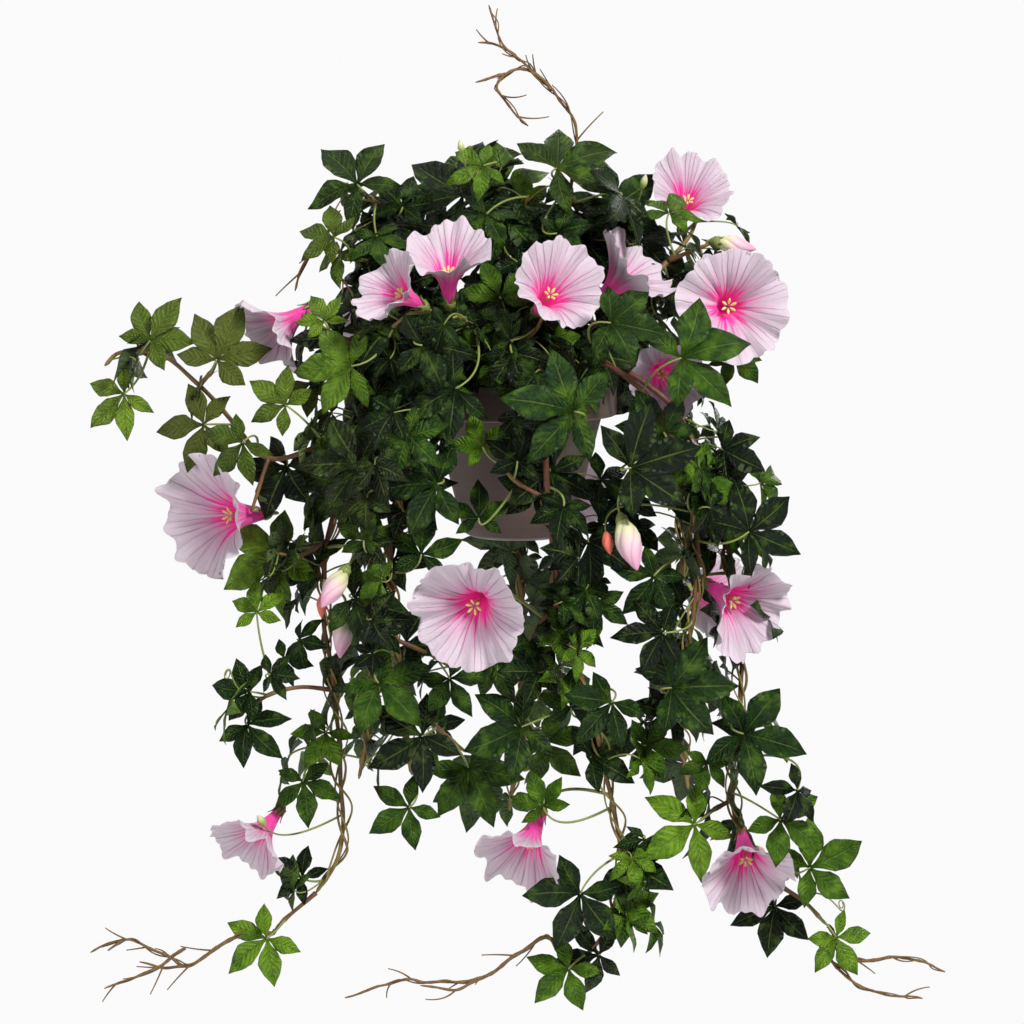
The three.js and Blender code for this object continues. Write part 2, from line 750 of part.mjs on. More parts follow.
function calyxGeometry(foot, axis, root) {
  const [e1, e2] = across(axis);
  const at = (z) => foot.clone().addScaledVector(axis, z);
  const stalk = stalkPath(at(-CALYX_RADIUS), axis.clone().negate(), root).reverse();
  const stalkRings = rodRings(stalk.slice(1), FLOWER_STALK_RADIUS, FLOWER_STALK_RADIUS, 5);
  const neck = ring(at(-CALYX_RADIUS), e1, e2, FLOWER_STALK_RADIUS, 5);
  const teeth = ring(at(0), e1, e2, 1, 10).map((_, k) => {
    const [height, radius] = k % 2 ? [0.5, CALYX_RADIUS + 0.5] : [CALYX_TOOTH, CALYX_RADIUS + CALYX_FLARE];
    return ring(at(height), e1, e2, radius, 10)[k];
  });
  const seat = ring(at(0), e1, e2, CALYX_RADIUS - 0.3, 5);
  return skin([[stalk[0]], ...lineUp(stalkRings.slice(0, -1), neck), neck, teeth, seat]);
}

// Each ring turned so that its first point is the one nearest the next ring's first point.
function lineUp(rings, target) {
  const out = [];
  let next = target;
  for (const loop of [...rings].reverse()) {
    let turn = 0;
    for (let k = 1; k < loop.length; k += 1) {
      if (loop[k].distanceTo(next[0]) < loop[turn].distanceTo(next[0])) turn = k;
    }
    next = [...loop.slice(turn), ...loop.slice(0, turn)];
    out.unshift(next);
  }
  return out;
}

// Ten lobes round the rim, five of them larger.
function corollaGeometry(foot, axis, radius, spin) {
  const [f1, f2] = across(axis);
  const e1 = f1.clone().multiplyScalar(Math.cos(spin)).addScaledVector(f2, Math.sin(spin));
  const e2 = new THREE.Vector3().crossVectors(axis, e1);
  const length = BLOOM_LENGTH * radius;
  const at = (z) => foot.clone().addScaledVector(axis, z);
  const rim = Array.from({ length: RIM_POINTS }, (_, k) => {
    const angle = (2 * Math.PI * k) / RIM_POINTS;
    const wave = RIM_WAVE * Math.cos(5 * angle) + RIM_RIPPLE * Math.cos(10 * angle);
    const lobe = 1 - RIM_LOBE * (1 - Math.cos(10 * angle));
    return ring(at(length + radius * (wave - 0.02)), e1, e2, radius * lobe, RIM_POINTS)[k];
  });
  const trumpet = (inset, floor) => [
    ring(at(floor), e1, e2, CALYX_RADIUS - 1.1 - inset, 5),
    ring(at(THROAT.height * length), e1, e2, THROAT.radius * radius - inset, 5),
    ring(at(FLARE.height * length + inset), e1, e2, FLARE.radius * radius - inset * 0.5, 10),
  ];
  return skin([...trumpet(0, SEAT_GAP), rim, ...trumpet(BLOOM_WALL, SEAT_GAP + BLOOM_WALL).reverse()]);
}

// Five pointed stamens that spread from one small foot.
function stamenGeometry(foot, axis, radius) {
  const [e1, e2] = across(axis);
  const at = (z) => foot.clone().addScaledVector(axis, z);
  const base = 2 * SEAT_GAP + BLOOM_WALL + 0.8;
  const girth = ring(at(base), e1, e2, STAMEN_FOOT, 5);
  const top = at(STAMEN_REACH * BLOOM_LENGTH * radius);
  const tips = ring(top, e1, e2, STAMEN_SPREAD * radius, 10).filter((_, k) => k % 2);
  const vertices = [at(base - 0.8), at(base + 1), ...girth, ...tips];
  const faces = [];
  for (let k = 0; k < 5; k += 1) {
    const [a, b, tip] = [2 + k, 2 + ((k + 1) % 5), 7 + k];
    faces.push([0, b, a], [a, b, tip], [b, 1, tip], [1, a, tip]);
  }
  return geometryOf(vertices, faces);
}

const two = (k) => String(k + 1).padStart(2, '0');
BLOOMS.forEach(([x, y, z, facing, lift, radius, stem], k) => {
  const axis = aim(facing, lift);
  const foot = new THREE.Vector3(x, y, z).addScaledVector(axis, -BLOOM_LENGTH * radius);
  const root = nearest(grown[stem].samples, foot.clone().addScaledVector(axis, -12));
  const spin = dice(300 + k)() * Math.PI;
  const calyx = calyxGeometry(foot, axis, root);
  const corolla = corollaGeometry(foot, axis, radius, spin);
  const stamens = stamenGeometry(foot, axis, radius);
  occupy(calyx, `bloom_${two(k)}.calyx`);
  occupy(corolla, `bloom_${two(k)}`);
  grown[stem].body = grown[stem].body.add(solid(calyx));
  addPiece(`bloom_${two(k)}`, corolla, PETAL_FINISH);
  addPiece(`stamens_${two(k)}`, stamens, STAMEN_FINISH);
});

// ---- buds: furled blooms, pointed, each in its calyx ----
BUDS.forEach(([x, y, z, facing, lift, length, stem], k) => {
  const axis = aim(facing, lift);
  const foot = new THREE.Vector3(x, y, z);
  const root = nearest(grown[stem].samples, foot.clone().addScaledVector(axis, -10));
  const calyx = calyxGeometry(foot, axis, root);
  const [e1, e2] = across(axis);
  const stations = [[0, 3.6, 5], [0.25, 0.19, 10], [0.5, 0.21, 10], [0.78, 0.13, 5], [1, 0.02, 5]];
  const rings = stations.map(([share, width, count]) => {
    const radius = share === 0 ? width : width * length;
    return ring(foot.clone().addScaledVector(axis, SEAT_GAP + share * length), e1, e2, radius, count);
  });
  const bud = skin(rings);
  occupy(calyx, `bud_${k + 1}.calyx`);
  occupy(bud, `bud_${k + 1}`);
  grown[stem].body = grown[stem].body.add(solid(calyx));
  addPiece(`bud_${k + 1}`, bud, BUD_FINISH);
});

// ---- leaves: five leaflets cut almost to one hub, folded up along their ribs, on a bent stalk ----
// A leaf row with the small chances that make each leaf its own.
function leafTraits(row, roll) {
  const [x, y, z, reach, turn, facing] = row;
  return {
    hub: new THREE.Vector3(x, y, z), reach, turn, facing,
    lift: between(LEAF_LIFT, roll) + Math.max(0, z - CROWN_HEIGHT) * CROWN_LIFT,
    spread: between(LEAFLET_SPREAD, roll), droop: between(LEAF_DROOP, roll), fold: between(LEAF_FOLD, roll),
  };
}

// A leaf by rule: on alternate sides of a cane, out from the pot's axis and mostly hanging.
function ruleLeaf(cane, k, count, roll) {
  const spot = onCurve(cane, (k + 0.75) / count);
  const out = new THREE.Vector3(spot.x, spot.y, 0).normalize();
  const side = k % 2 ? 1 : -1;
  const along = new THREE.Vector3(-out.y * side, out.x * side, 0);
  const hub = spot.clone().addScaledVector(out, between(FILL_OUT, roll));
  hub.addScaledVector(along, between(FILL_ALONG, roll)).z += between(FILL_RISE, roll);
  const reach = between(FILL_REACH, roll);
  const way = out.clone().addScaledVector(along, 0.45);
  const facing = Math.atan2(way.x, -way.y) / DEGREE;
  return [hub.x, hub.y, hub.z, reach, 180 - side * between(FILL_TURN, roll), facing];
}

// Leaf number n's place at its k-th try: out and in along the way it faces, turned and a little smaller.
function placed(traits, k) {
  const normal = aim(traits.facing, traits.lift);
  const step = Math.ceil(k / 2) * (k % 2 ? LEAF_TRY_STEP : -LEAF_TRY_STEP);
  const twist = k === 0 ? 0 : ((k * 37) % 31) - 15;
  const turn = (traits.turn + twist) * DEGREE;
  const right = aim(traits.facing + 90, 0);
  const way = right.multiplyScalar(Math.sin(turn)).add(new THREE.Vector3(0, 0, Math.cos(turn)));
  const ahead = way.addScaledVector(normal, -way.dot(normal)).normalize();
  return {
    hub: traits.hub.clone().addScaledVector(normal, step), normal, ahead,
    side: new THREE.Vector3().crossVectors(normal, ahead), reach: traits.reach * (1 - LEAF_TRY_SHRINK * k),
  };
}

function leafGeometry(place, traits, root) {
  const { hub, normal, ahead, side, reach } = place;
  const inLeaf = (u, v, lift) => {
    const sag = -traits.droop * (u * u + v * v) / reach;
    return hub.clone().addScaledVector(ahead, u).addScaledVector(side, v).addScaledVector(normal, sag + lift);
  };
  const half = LEAF_THICKNESS / 2;
  const vertices = [inLeaf(0, 0, half), inLeaf(0, 0, -half), inLeaf(-0.06 * reach, -LEAF_STALK_RADIUS, 0)];
  const faces = [];
  let notch = 2;
  LEAFLET_LENGTHS.forEach((share, k) => {
    const angle = (k - 2) * traits.spread * DEGREE;
    const [c, s] = [Math.cos(angle), Math.sin(angle)];
    const length = share * reach;
    const onLeaflet = (along, out, lift) => inLeaf(along * c - out * s, along * s + out * c, lift);
    const shoulder = LEAFLET_SHOULDER * length;
    const width = LEAFLET_HALF_WIDTH * length;
    const raise = traits.fold * width;
    const first = vertices.length;
    vertices.push(onLeaflet(shoulder, -width, raise), onLeaflet(length, 0, 0));
    vertices.push(onLeaflet(shoulder, width, raise));
    vertices.push(onLeaflet(shoulder, 0, half), onLeaflet(shoulder, 0, -half));
    const middle = angle + traits.spread * DEGREE / 2;
    const rise = 0.35 * raise;
    vertices.push(k === 4 ? inLeaf(-0.06 * reach, LEAF_STALK_RADIUS, 0)
      : inLeaf(LEAF_NOTCH * reach * Math.cos(middle), LEAF_NOTCH * reach * Math.sin(middle), rise));
    const rim = [notch, first, first + 1, first + 2, first + 5];
    const loops = [[0, first + 3, false], [1, first + 4, true]];
    for (const [centre, rib, under] of loops) {
      const loop = [centre, ...rim];
      loop.forEach((from, i) => {
        const to = loop[(i + 1) % loop.length];
        faces.push(under ? [to, from, rib] : [from, to, rib]);
      });
    }
    notch = first + 5;
  });
  // the three-sided stalk goes on from the hub as one skin with the blade, to a point in its cane
  const path = stalkPath(hub, ahead.clone().negate(), root);
  let sideways = side;
  let loop = null;
  path.slice(1, 3).forEach((centre, i) => {
    const along = path[i + 2].clone().sub(path[i]).normalize();
    sideways = sideways.clone().addScaledVector(along, -sideways.dot(along)).normalize();
    const up = new THREE.Vector3().crossVectors(sideways, along);
    const first = vertices.length;
    for (const [out, rise] of [[-0.87, -0.5], [0, 1], [0.87, -0.5]]) {
      vertices.push(centre.clone().addScaledVector(sideways, out * LEAF_STALK_RADIUS)
        .addScaledVector(up, rise * LEAF_STALK_RADIUS));
    }
    const [l, t, r] = [first, first + 1, first + 2];
    if (loop) {
      const [a, b, c] = loop;
      faces.push([a, b, t], [a, t, l], [b, c, r], [b, r, t], [c, a, l], [c, l, r]);
    } else {
      faces.push([2, 0, t], [2, t, l], [0, notch, r], [0, r, t], [notch, 1, r], [1, l, r], [1, 2, l]);
    }
    loop = [l, t, r];
  });
  const point = vertices.length;
  vertices.push(path[3]);
  faces.push([loop[0], loop[1], point], [loop[1], loop[2], point], [loop[2], loop[0], point]);
  return geometryOf(vertices, faces);
}

// The first try at a leaf that clears all that has grown before it, or null.
function growLeaf(name, traits) {
  for (let k = 0; k < LEAF_TRIES; k += 1) {
    const place = placed(traits, k);
    const grip = place.hub.clone().addScaledVector(place.ahead, -0.5 * place.reach);
    const root = nearest(grown[name].samples, grip);
    const geometry = leafGeometry(place, traits, root);
    const clear = [0, LEAF_CLEARANCE, -LEAF_CLEARANCE].every((shift) => {
      const moved = geometry.clone().translate(...place.normal.clone().multiplyScalar(shift).toArray());
      return blockedBy(moved, [`${name}.cane`]) === null;
    });
    if (clear) return geometry;
  }
  return null;
}

Object.values(STEMS).forEach((stem, number) => {
  const own = dice(number + 1);
  stem.traits = stem.leaves.map((row) => leafTraits(row, own));
  const roll = dice(number + 101);
  const cane = stem.canes[0].map(vector);
  for (let k = 0; k < stem.fill; k += 1) stem.traits.push(leafTraits(ruleLeaf(cane, k, stem.fill, roll), roll));
});
for (const [name, stem] of Object.entries(STEMS)) {
  for (const traits of stem.traits) {
    const leaf = growLeaf(name, traits);
    if (!leaf) continue;
    occupy(leaf, `${name}.leaf`);
    grown[name].body = grown[name].body.add(solid(leaf));
  }
  addPiece(name, geometryOfSolid(grown[name].body), LEAF_FINISH);
}
export default part;
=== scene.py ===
# A trailing petunia bush with funnel blooms in a small tapered plastic pot that hangs.
# The file follows the object as it is put together: pot, filler, stems, leaves, blooms, stamens, buds,
# twigs, small leaves and tendrils, and last the stage. Tables are in mm and degrees, the stage in metres.
import math

import bpy
import numpy as np
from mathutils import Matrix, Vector, kdtree


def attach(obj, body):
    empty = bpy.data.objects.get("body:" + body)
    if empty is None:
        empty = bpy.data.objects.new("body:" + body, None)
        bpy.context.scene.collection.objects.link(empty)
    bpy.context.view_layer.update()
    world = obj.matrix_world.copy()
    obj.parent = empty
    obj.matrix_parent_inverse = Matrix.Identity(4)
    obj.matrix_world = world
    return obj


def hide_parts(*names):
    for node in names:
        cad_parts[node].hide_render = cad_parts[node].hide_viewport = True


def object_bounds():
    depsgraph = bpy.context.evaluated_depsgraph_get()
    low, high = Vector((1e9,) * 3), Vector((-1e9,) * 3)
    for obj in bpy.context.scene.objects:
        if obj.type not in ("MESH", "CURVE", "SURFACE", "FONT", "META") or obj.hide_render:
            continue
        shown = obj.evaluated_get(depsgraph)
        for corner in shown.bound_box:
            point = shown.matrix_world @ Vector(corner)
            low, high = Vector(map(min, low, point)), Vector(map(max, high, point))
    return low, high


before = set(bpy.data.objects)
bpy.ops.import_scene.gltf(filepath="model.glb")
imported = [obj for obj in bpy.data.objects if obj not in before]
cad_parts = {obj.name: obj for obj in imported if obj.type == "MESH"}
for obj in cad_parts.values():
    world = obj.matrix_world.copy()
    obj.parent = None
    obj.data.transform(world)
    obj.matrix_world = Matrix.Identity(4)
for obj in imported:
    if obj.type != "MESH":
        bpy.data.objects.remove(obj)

cad_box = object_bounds()
MM = 0.001

# ---- pot ----
# The pot is one thin shell of moulded taupe-brown plastic, tapered, with a deep band at the rim.
# It is blown in a mould, so its edges are soft and its skin has a faint pebble and fine flow lines, painted
# lighter as a sheen, a painted highlight.
POT_PROFILE = [
    (0, 0), (36, 0), (40, 2.2), (42.5, 9), (64, 92), (74, 92), (75, 93.5), (75, 118), (74, 119),
    (72.8, 119), (72.8, 94.2), (61.8, 94.2), (40.3, 9), (36, 2.2), (0, 2.2),
]
POT_SIDES = 120
POT_EDGE = 0.7
# POT_COLOUR is the taupe plastic set darker than its own colour, as painted shade from the leaves over the
# pot.
POT_COLOUR, POT_FLOW_SHEEN, POT_DUST = (88, 72, 64), (150, 128, 116), (168, 150, 138)
FLOW_SHEEN_LINES_PER_METRE = (12.0, 12.0, 420.0)
DUST_FROM, DUST_TO = 112 * MM, 119 * MM


def linear(colour):
    """A colour of three numbers to 255, as light: the share to the power 2.2, with alpha 1."""
    return tuple((c / 255) ** 2.2 for c in colour) + (1,)


def shades(colour, *shares):
    """A colour as light, made darker or lighter by each share."""
    return [linear([c * share for c in colour]) for share in shares]


def softened(profile, edge):
    """The profile with each corner cut back by edge and rounded by a point pulled half way to it."""
    points = np.array(profile, float)
    out = [points[0]]
    for before, corner, after in zip(points, points[1:], points[2:]):
        way_in, way_out = corner - before, after - corner
        reach = min(edge, 0.4 * np.linalg.norm(way_in), 0.4 * np.linalg.norm(way_out))
        first = corner - way_in / np.linalg.norm(way_in) * reach
        last = corner + way_out / np.linalg.norm(way_out) * reach
        out += [first, 0.5 * corner + 0.25 * (first + last), last]
    out.append(points[-1])
    return np.array(out)


def loft(rings, **tags):
    """Closed lofts as one set of arrays. rings is (lofts, stations, points round, 3), and runs
    counterclockwise about its way; a fan closes both ends. The UV is (station, point round), each
    from 0 to 1. A tag is a number for each loft, or for each of its ring points."""
    lofts, rows, count, _ = rings.shape
    ends = np.stack([rings[:, 0].mean(axis=1), rings[:, -1].mean(axis=1)], axis=1)
    points = np.concatenate([rings.reshape(lofts, rows * count, 3), ends], axis=1)
    i, j = [a.ravel() for a in np.meshgrid(np.arange(rows - 1), np.arange(count), indexing="ij")]
    wrap = (j + 1) % count
    quads = np.stack([i * count + j, i * count + wrap, (i + 1) * count + wrap, (i + 1) * count + j], 1)
    quad_uv = np.stack([i, j, i, j + 1, i + 1, j + 1, i + 1, j], 1).reshape(-1, 2) + [0, 0.5]
    k = np.arange(count)
    after = (k + 1) % count
    first, last, top = 0 * k, 0 * k + rows - 1, (rows - 1) * count
    foot = np.stack([first + rows * count, after, k], 1)
    foot_uv = np.stack([first, k + 1, first, k + 1.5, first, k + 0.5], 1).reshape(-1, 2)
    head = np.stack([first + rows * count + 1, top + k, top + after], 1)
    head_uv = np.stack([last, k + 1, last, k + 0.5, last, k + 1.5], 1).reshape(-1, 2)
    corners = np.concatenate([quads.ravel(), foot.ravel(), head.ravel()])
    uv = np.concatenate([quad_uv, foot_uv, head_uv]) / [max(rows - 1, 1), count]
    each = rows * count + 2
    full = {}
    for name, value in tags.items():
        value = np.asarray(value, float)
        if value.ndim == 1:
            full[name] = np.repeat(value, each)
        else:
            value = np.broadcast_to(value, (lofts, rows, count))
            tips = np.stack([value[:, 0].mean(axis=1), value[:, -1].mean(axis=1)], axis=1)
            full[name] = np.concatenate([value.reshape(lofts, -1), tips], axis=1).ravel()
    return {
        "points": points.reshape(-1, 3),
        "corners": (corners[None] + each * np.arange(lofts)[:, None]).ravel(),
        "sizes": np.tile(np.repeat([4, 3], [len(quads), 2 * count]), lofts),
        "uv": np.tile(uv, (lofts, 1)),
        "tags": full,
    }


def make_piece(name, lofts, finish, slot, *replaced):
    """One smooth mesh object of several lofts, in metres, riding with the part."""
    points = np.concatenate([one["points"] for one in lofts]) * MM
    starts = np.cumsum([0] + [len(one["points"]) for one in lofts[:-1]])
    corners = np.concatenate([one["corners"] + s for one, s in zip(lofts, starts)])
    sizes = np.concatenate([one["sizes"] for one in lofts])
    mesh = bpy.data.meshes.new(name)
    mesh.vertices.add(len(points))
    mesh.vertices.foreach_set("co", points.astype(np.float32).ravel())
    mesh.loops.add(len(corners))
    mesh.loops.foreach_set("vertex_index", corners.astype(np.int32))
    mesh.polygons.add(len(sizes))
    mesh.polygons.foreach_set("loop_start", (np.cumsum(sizes) - sizes).astype(np.int32))
    mesh.polygons.foreach_set("use_smooth", np.ones(len(sizes), bool))
    mesh.update(calc_edges=True)
    grid = mesh.uv_layers.new(name="grid")
    grid.data.foreach_set("uv", np.concatenate([one["uv"] for one in lofts]).astype(np.float32).ravel())
    for tag in lofts[0]["tags"]:
        values = np.concatenate([one["tags"][tag] for one in lofts])
        mesh.attributes.new(tag, "FLOAT", "POINT").data.foreach_set("value", values.astype(np.float32))
    mesh.materials.append(finish)
    piece = bpy.data.objects.new(name, mesh)
    bpy.context.scene.collection.objects.link(piece)
    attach(piece, "root")
    if replaced:
        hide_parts(*replaced)
    return piece


def turned(profile, sides):
    """A profile of (radius, height) turned about Z: x = r cos a, y = r sin a, z = height."""
    angle = 2 * np.pi * np.arange(sides) / sides
    radius, height = profile[:, :1], profile[:, 1:]
    rings = np.stack([radius * np.cos(angle), radius * np.sin(angle), height + 0 * angle], -1)
    return rings[None]


def new_finish(name, roughness, specular=0.5):
    """A material with its Principled shader, and the node tree to wire it up in."""
    finish = bpy.data.materials.new(name)
    finish.use_nodes = True
    shader = finish.node_tree.nodes["Principled BSDF"]
    shader.inputs["Roughness"].default_value = roughness
    shader.inputs["Specular IOR Level"].default_value = specular
    return finish, finish.node_tree, shader


def add_node(tree, kind, values=None, **settings):
    """A node with settings by name, and its inputs filled with numbers or linked to sockets."""
    node = tree.nodes.new(kind)
    for key, value in settings.items():
        setattr(node, key, value)
    for key, value in (values or {}).items():
        if isinstance(value, bpy.types.NodeSocket):
            tree.links.new(value, node.inputs[key])
        else:
            node.inputs[key].default_value = value
    return node


def maths(tree, operation, a, b=0.0, c=0.0, clamp=False):
    """One Math node's output."""
    values = {0: a, 1: b, 2: c}
    return add_node(tree, "ShaderNodeMath", values, operation=operation, use_clamp=clamp).outputs[0]


def times(tree, a, b, plus=None, clamp=False):
    """a times b, plus a third value where one is given."""
    if plus is None:
        return maths(tree, "MULTIPLY", a, b, clamp=clamp)
    return maths(tree, "MULTIPLY_ADD", a, b, plus, clamp)


def minus(tree, a, b, clamp=False):
    """a less b."""
    return maths(tree, "SUBTRACT", a, b, clamp=clamp)


def step_of(tree, value, low, high):
    """A smooth step: 0 where value is at low, 1 where it is at high."""
    return add_node(tree, "ShaderNodeMapRange", {"Value": value, "From Min": low, "From Max": high},
                    interpolation_type="SMOOTHSTEP").outputs["Result"]


def mix_of(tree, share, one, other):
    """One colour turning into another as share goes from 0 to 1."""
    node = add_node(tree, "ShaderNodeMix", {"Factor": share}, data_type="RGBA")
    for index, value in ((6, one), (7, other)):
        if isinstance(value, bpy.types.NodeSocket):
            tree.links.new(value, node.inputs[index])
        else:
            node.inputs[index].default_value = value
    return node.outputs[2]


def make_grain():
    """Noise on Object coordinates as a shared group: a coarse and a fine mask, and a bumped normal."""
    group = bpy.data.node_groups.new("surface_grain", "ShaderNodeTree")
    for name, value in (("Coarse Scale", 40.0), ("Fine Scale", 900.0), ("Depth", 0.0002)):
        group.interface.new_socket(name, in_out="INPUT", socket_type="NodeSocketFloat").default_value = value
    for name, kind in (("Coarse", "Float"), ("Fine", "Float"), ("Normal", "Vector")):
        group.interface.new_socket(name, in_out="OUTPUT", socket_type=f"NodeSocket{kind}")
    scale, fine_scale, depth = group.nodes.new("NodeGroupInput").outputs[:3]
    place = group.nodes.new("ShaderNodeTexCoord").outputs["Object"]
    coarse = add_node(group, "ShaderNodeTexNoise", {"Vector": place, "Scale": scale, "Detail": 3.0})
    fine = add_node(group, "ShaderNodeTexNoise", {"Vector": place, "Scale": fine_scale, "Detail": 2.0})
    height = times(group, coarse.outputs["Fac"], 1.5, fine.outputs["Fac"])
    bump = add_node(group, "ShaderNodeBump", {"Height": height, "Distance": depth})
    out = group.nodes.new("NodeGroupOutput")
    for socket, source in zip(out.inputs, (coarse.outputs["Fac"], fine.outputs["Fac"], bump.outputs[0])):
        group.links.new(source, socket)
    return group


GRAIN = make_grain()


def place_grain(tree, coarse, fine, depth):
    """The shared grain in a material, with its own scales per metre and its depth in metres: the
    coarse mask, the fine mask and the normal."""
    node = add_node(tree, "ShaderNodeGroup", node_tree=GRAIN)
    for socket, value in zip(node.inputs, (coarse, fine, depth)):
        socket.default_value = value
    return node.outputs[:]


def wired(finish, colour, roughness, normal):
    """The material, with what is given of its colour, roughness and normal linked to its shader."""
    shader = finish.node_tree.nodes["Principled BSDF"]
    for key, value in (("Base Color", colour), ("Roughness", roughness), ("Normal", normal)):
        if value is not None:
            finish.node_tree.links.new(value, shader.inputs[key])
    return finish


def pot_plastic():
    """Satin taupe plastic: two near tones in soft clouds, flow lines round it painted lighter as a sheen, a
    painted highlight, and dust on the ledge.
    """
    finish, tree, _ = new_finish("pot_plastic", 0.45)
    cloud, pebble, skin = place_grain(tree, 22.0, 1400.0, 0.00012)
    place = tree.nodes.new("ShaderNodeTexCoord").outputs["Object"]
    height = add_node(tree, "ShaderNodeSeparateXYZ", {0: place}).outputs["Z"]
    flow = add_node(tree, "ShaderNodeMapping", {"Vector": place, "Scale": FLOW_SHEEN_LINES_PER_METRE}).outputs[0]
    lines = add_node(tree, "ShaderNodeTexNoise", {"Vector": flow, "Scale": 1.0}).outputs["Fac"]
    colour = mix_of(tree, cloud, *shades(POT_COLOUR, 0.86, 1.12))
    # The lighter flow lines are a painted sheen: a painted highlight in streaks round the pot.
    colour = mix_of(tree, times(tree, lines, 0.25), colour, linear(POT_FLOW_SHEEN))
    dust = times(tree, step_of(tree, height, DUST_FROM, DUST_TO), pebble)
    colour = mix_of(tree, times(tree, dust, 0.5), colour, linear(POT_DUST))
    return wired(finish, colour, times(tree, cloud, 0.22, 0.34), skin)


pot_rings = turned(softened(POT_PROFILE, POT_EDGE)[1:-1], POT_SIDES)
make_piece("pot_shell", [loft(pot_rings)], pot_plastic(), "pot", "pot")

# ---- filler ----
# A dark crumbly plug of foam and bark fills the pot to just under the rim, and the stems stand in it.
# It is pressed in and its top left rough, crowned a little to the middle.
FILLER_TOP = 108
FILLER_RADIUS = 71.2
FILLER_CROWN = 4
FILLER_WALL = [(35, 2.55), (39, 9.35), (60.5, 94.6), (FILLER_RADIUS, 94.6),
               (FILLER_RADIUS, FILLER_TOP - FILLER_CROWN)]
FILLER_SIDES, FILLER_RINGS = 96, 26
CRUMB_WAVES = ((19, 1.1, 0.3), (11, 0.8, 1.9), (7, 0.5, 4.1), (4.3, 0.35, 2.2))
CRUMB, CHIP = (30, 23, 18), (74, 56, 42)


def crumb_height(x, y):
    """Crumbs as a sum of waves: tall sin(2 pi a / wave + turn) sin(2 pi b / wave + 2 turn), where a
    and b are x and y turned by turn."""
    height = 0 * x
    for wave, tall, turn in CRUMB_WAVES:
        a = x * math.cos(turn) + y * math.sin(turn)
        b = y * math.cos(turn) - x * math.sin(turn)
        height = height + tall * np.sin(2 * np.pi * a / wave + turn) * np.sin(2 * np.pi * b / wave + 2 * turn)
    return height


def filler_crumb():
    """Matt near-black brown with lighter bark chips, deeply rough."""
    finish, tree, _ = new_finish("filler_crumb", 0.95, 0.2)
    cloud, _, skin = place_grain(tree, 160.0, 700.0, 0.0012)
    colour = mix_of(tree, step_of(tree, cloud, 0.52, 0.66), linear(CRUMB), linear(CHIP))
    return wired(finish, colour, None, skin)


def filler_rings():
    """From the pot's floor up its wall, then in over the rough top to the middle. The top stands at
    FILLER_TOP - FILLER_CROWN (r / FILLER_RADIUS)^6, and the crumbs fade out at the wall."""
    inward = np.linspace(FILLER_RADIUS - 0.4, 1, FILLER_RINGS)
    crown = np.stack([inward, FILLER_TOP - FILLER_CROWN * (inward / FILLER_RADIUS) ** 6], 1)
    rings = turned(np.concatenate([np.array(FILLER_WALL), crown]), FILLER_SIDES)
    top = rings[:, len(FILLER_WALL):]
    fade = np.clip((FILLER_RADIUS - inward) / 6, 0, 1)[:, None]
    top[..., 2] += (crumb_height(top[..., 0], top[..., 1]) - 0.4) * fade
    return rings


make_piece("filler_plug", [loft(filler_rings())], filler_crumb(), "filler", "filler")

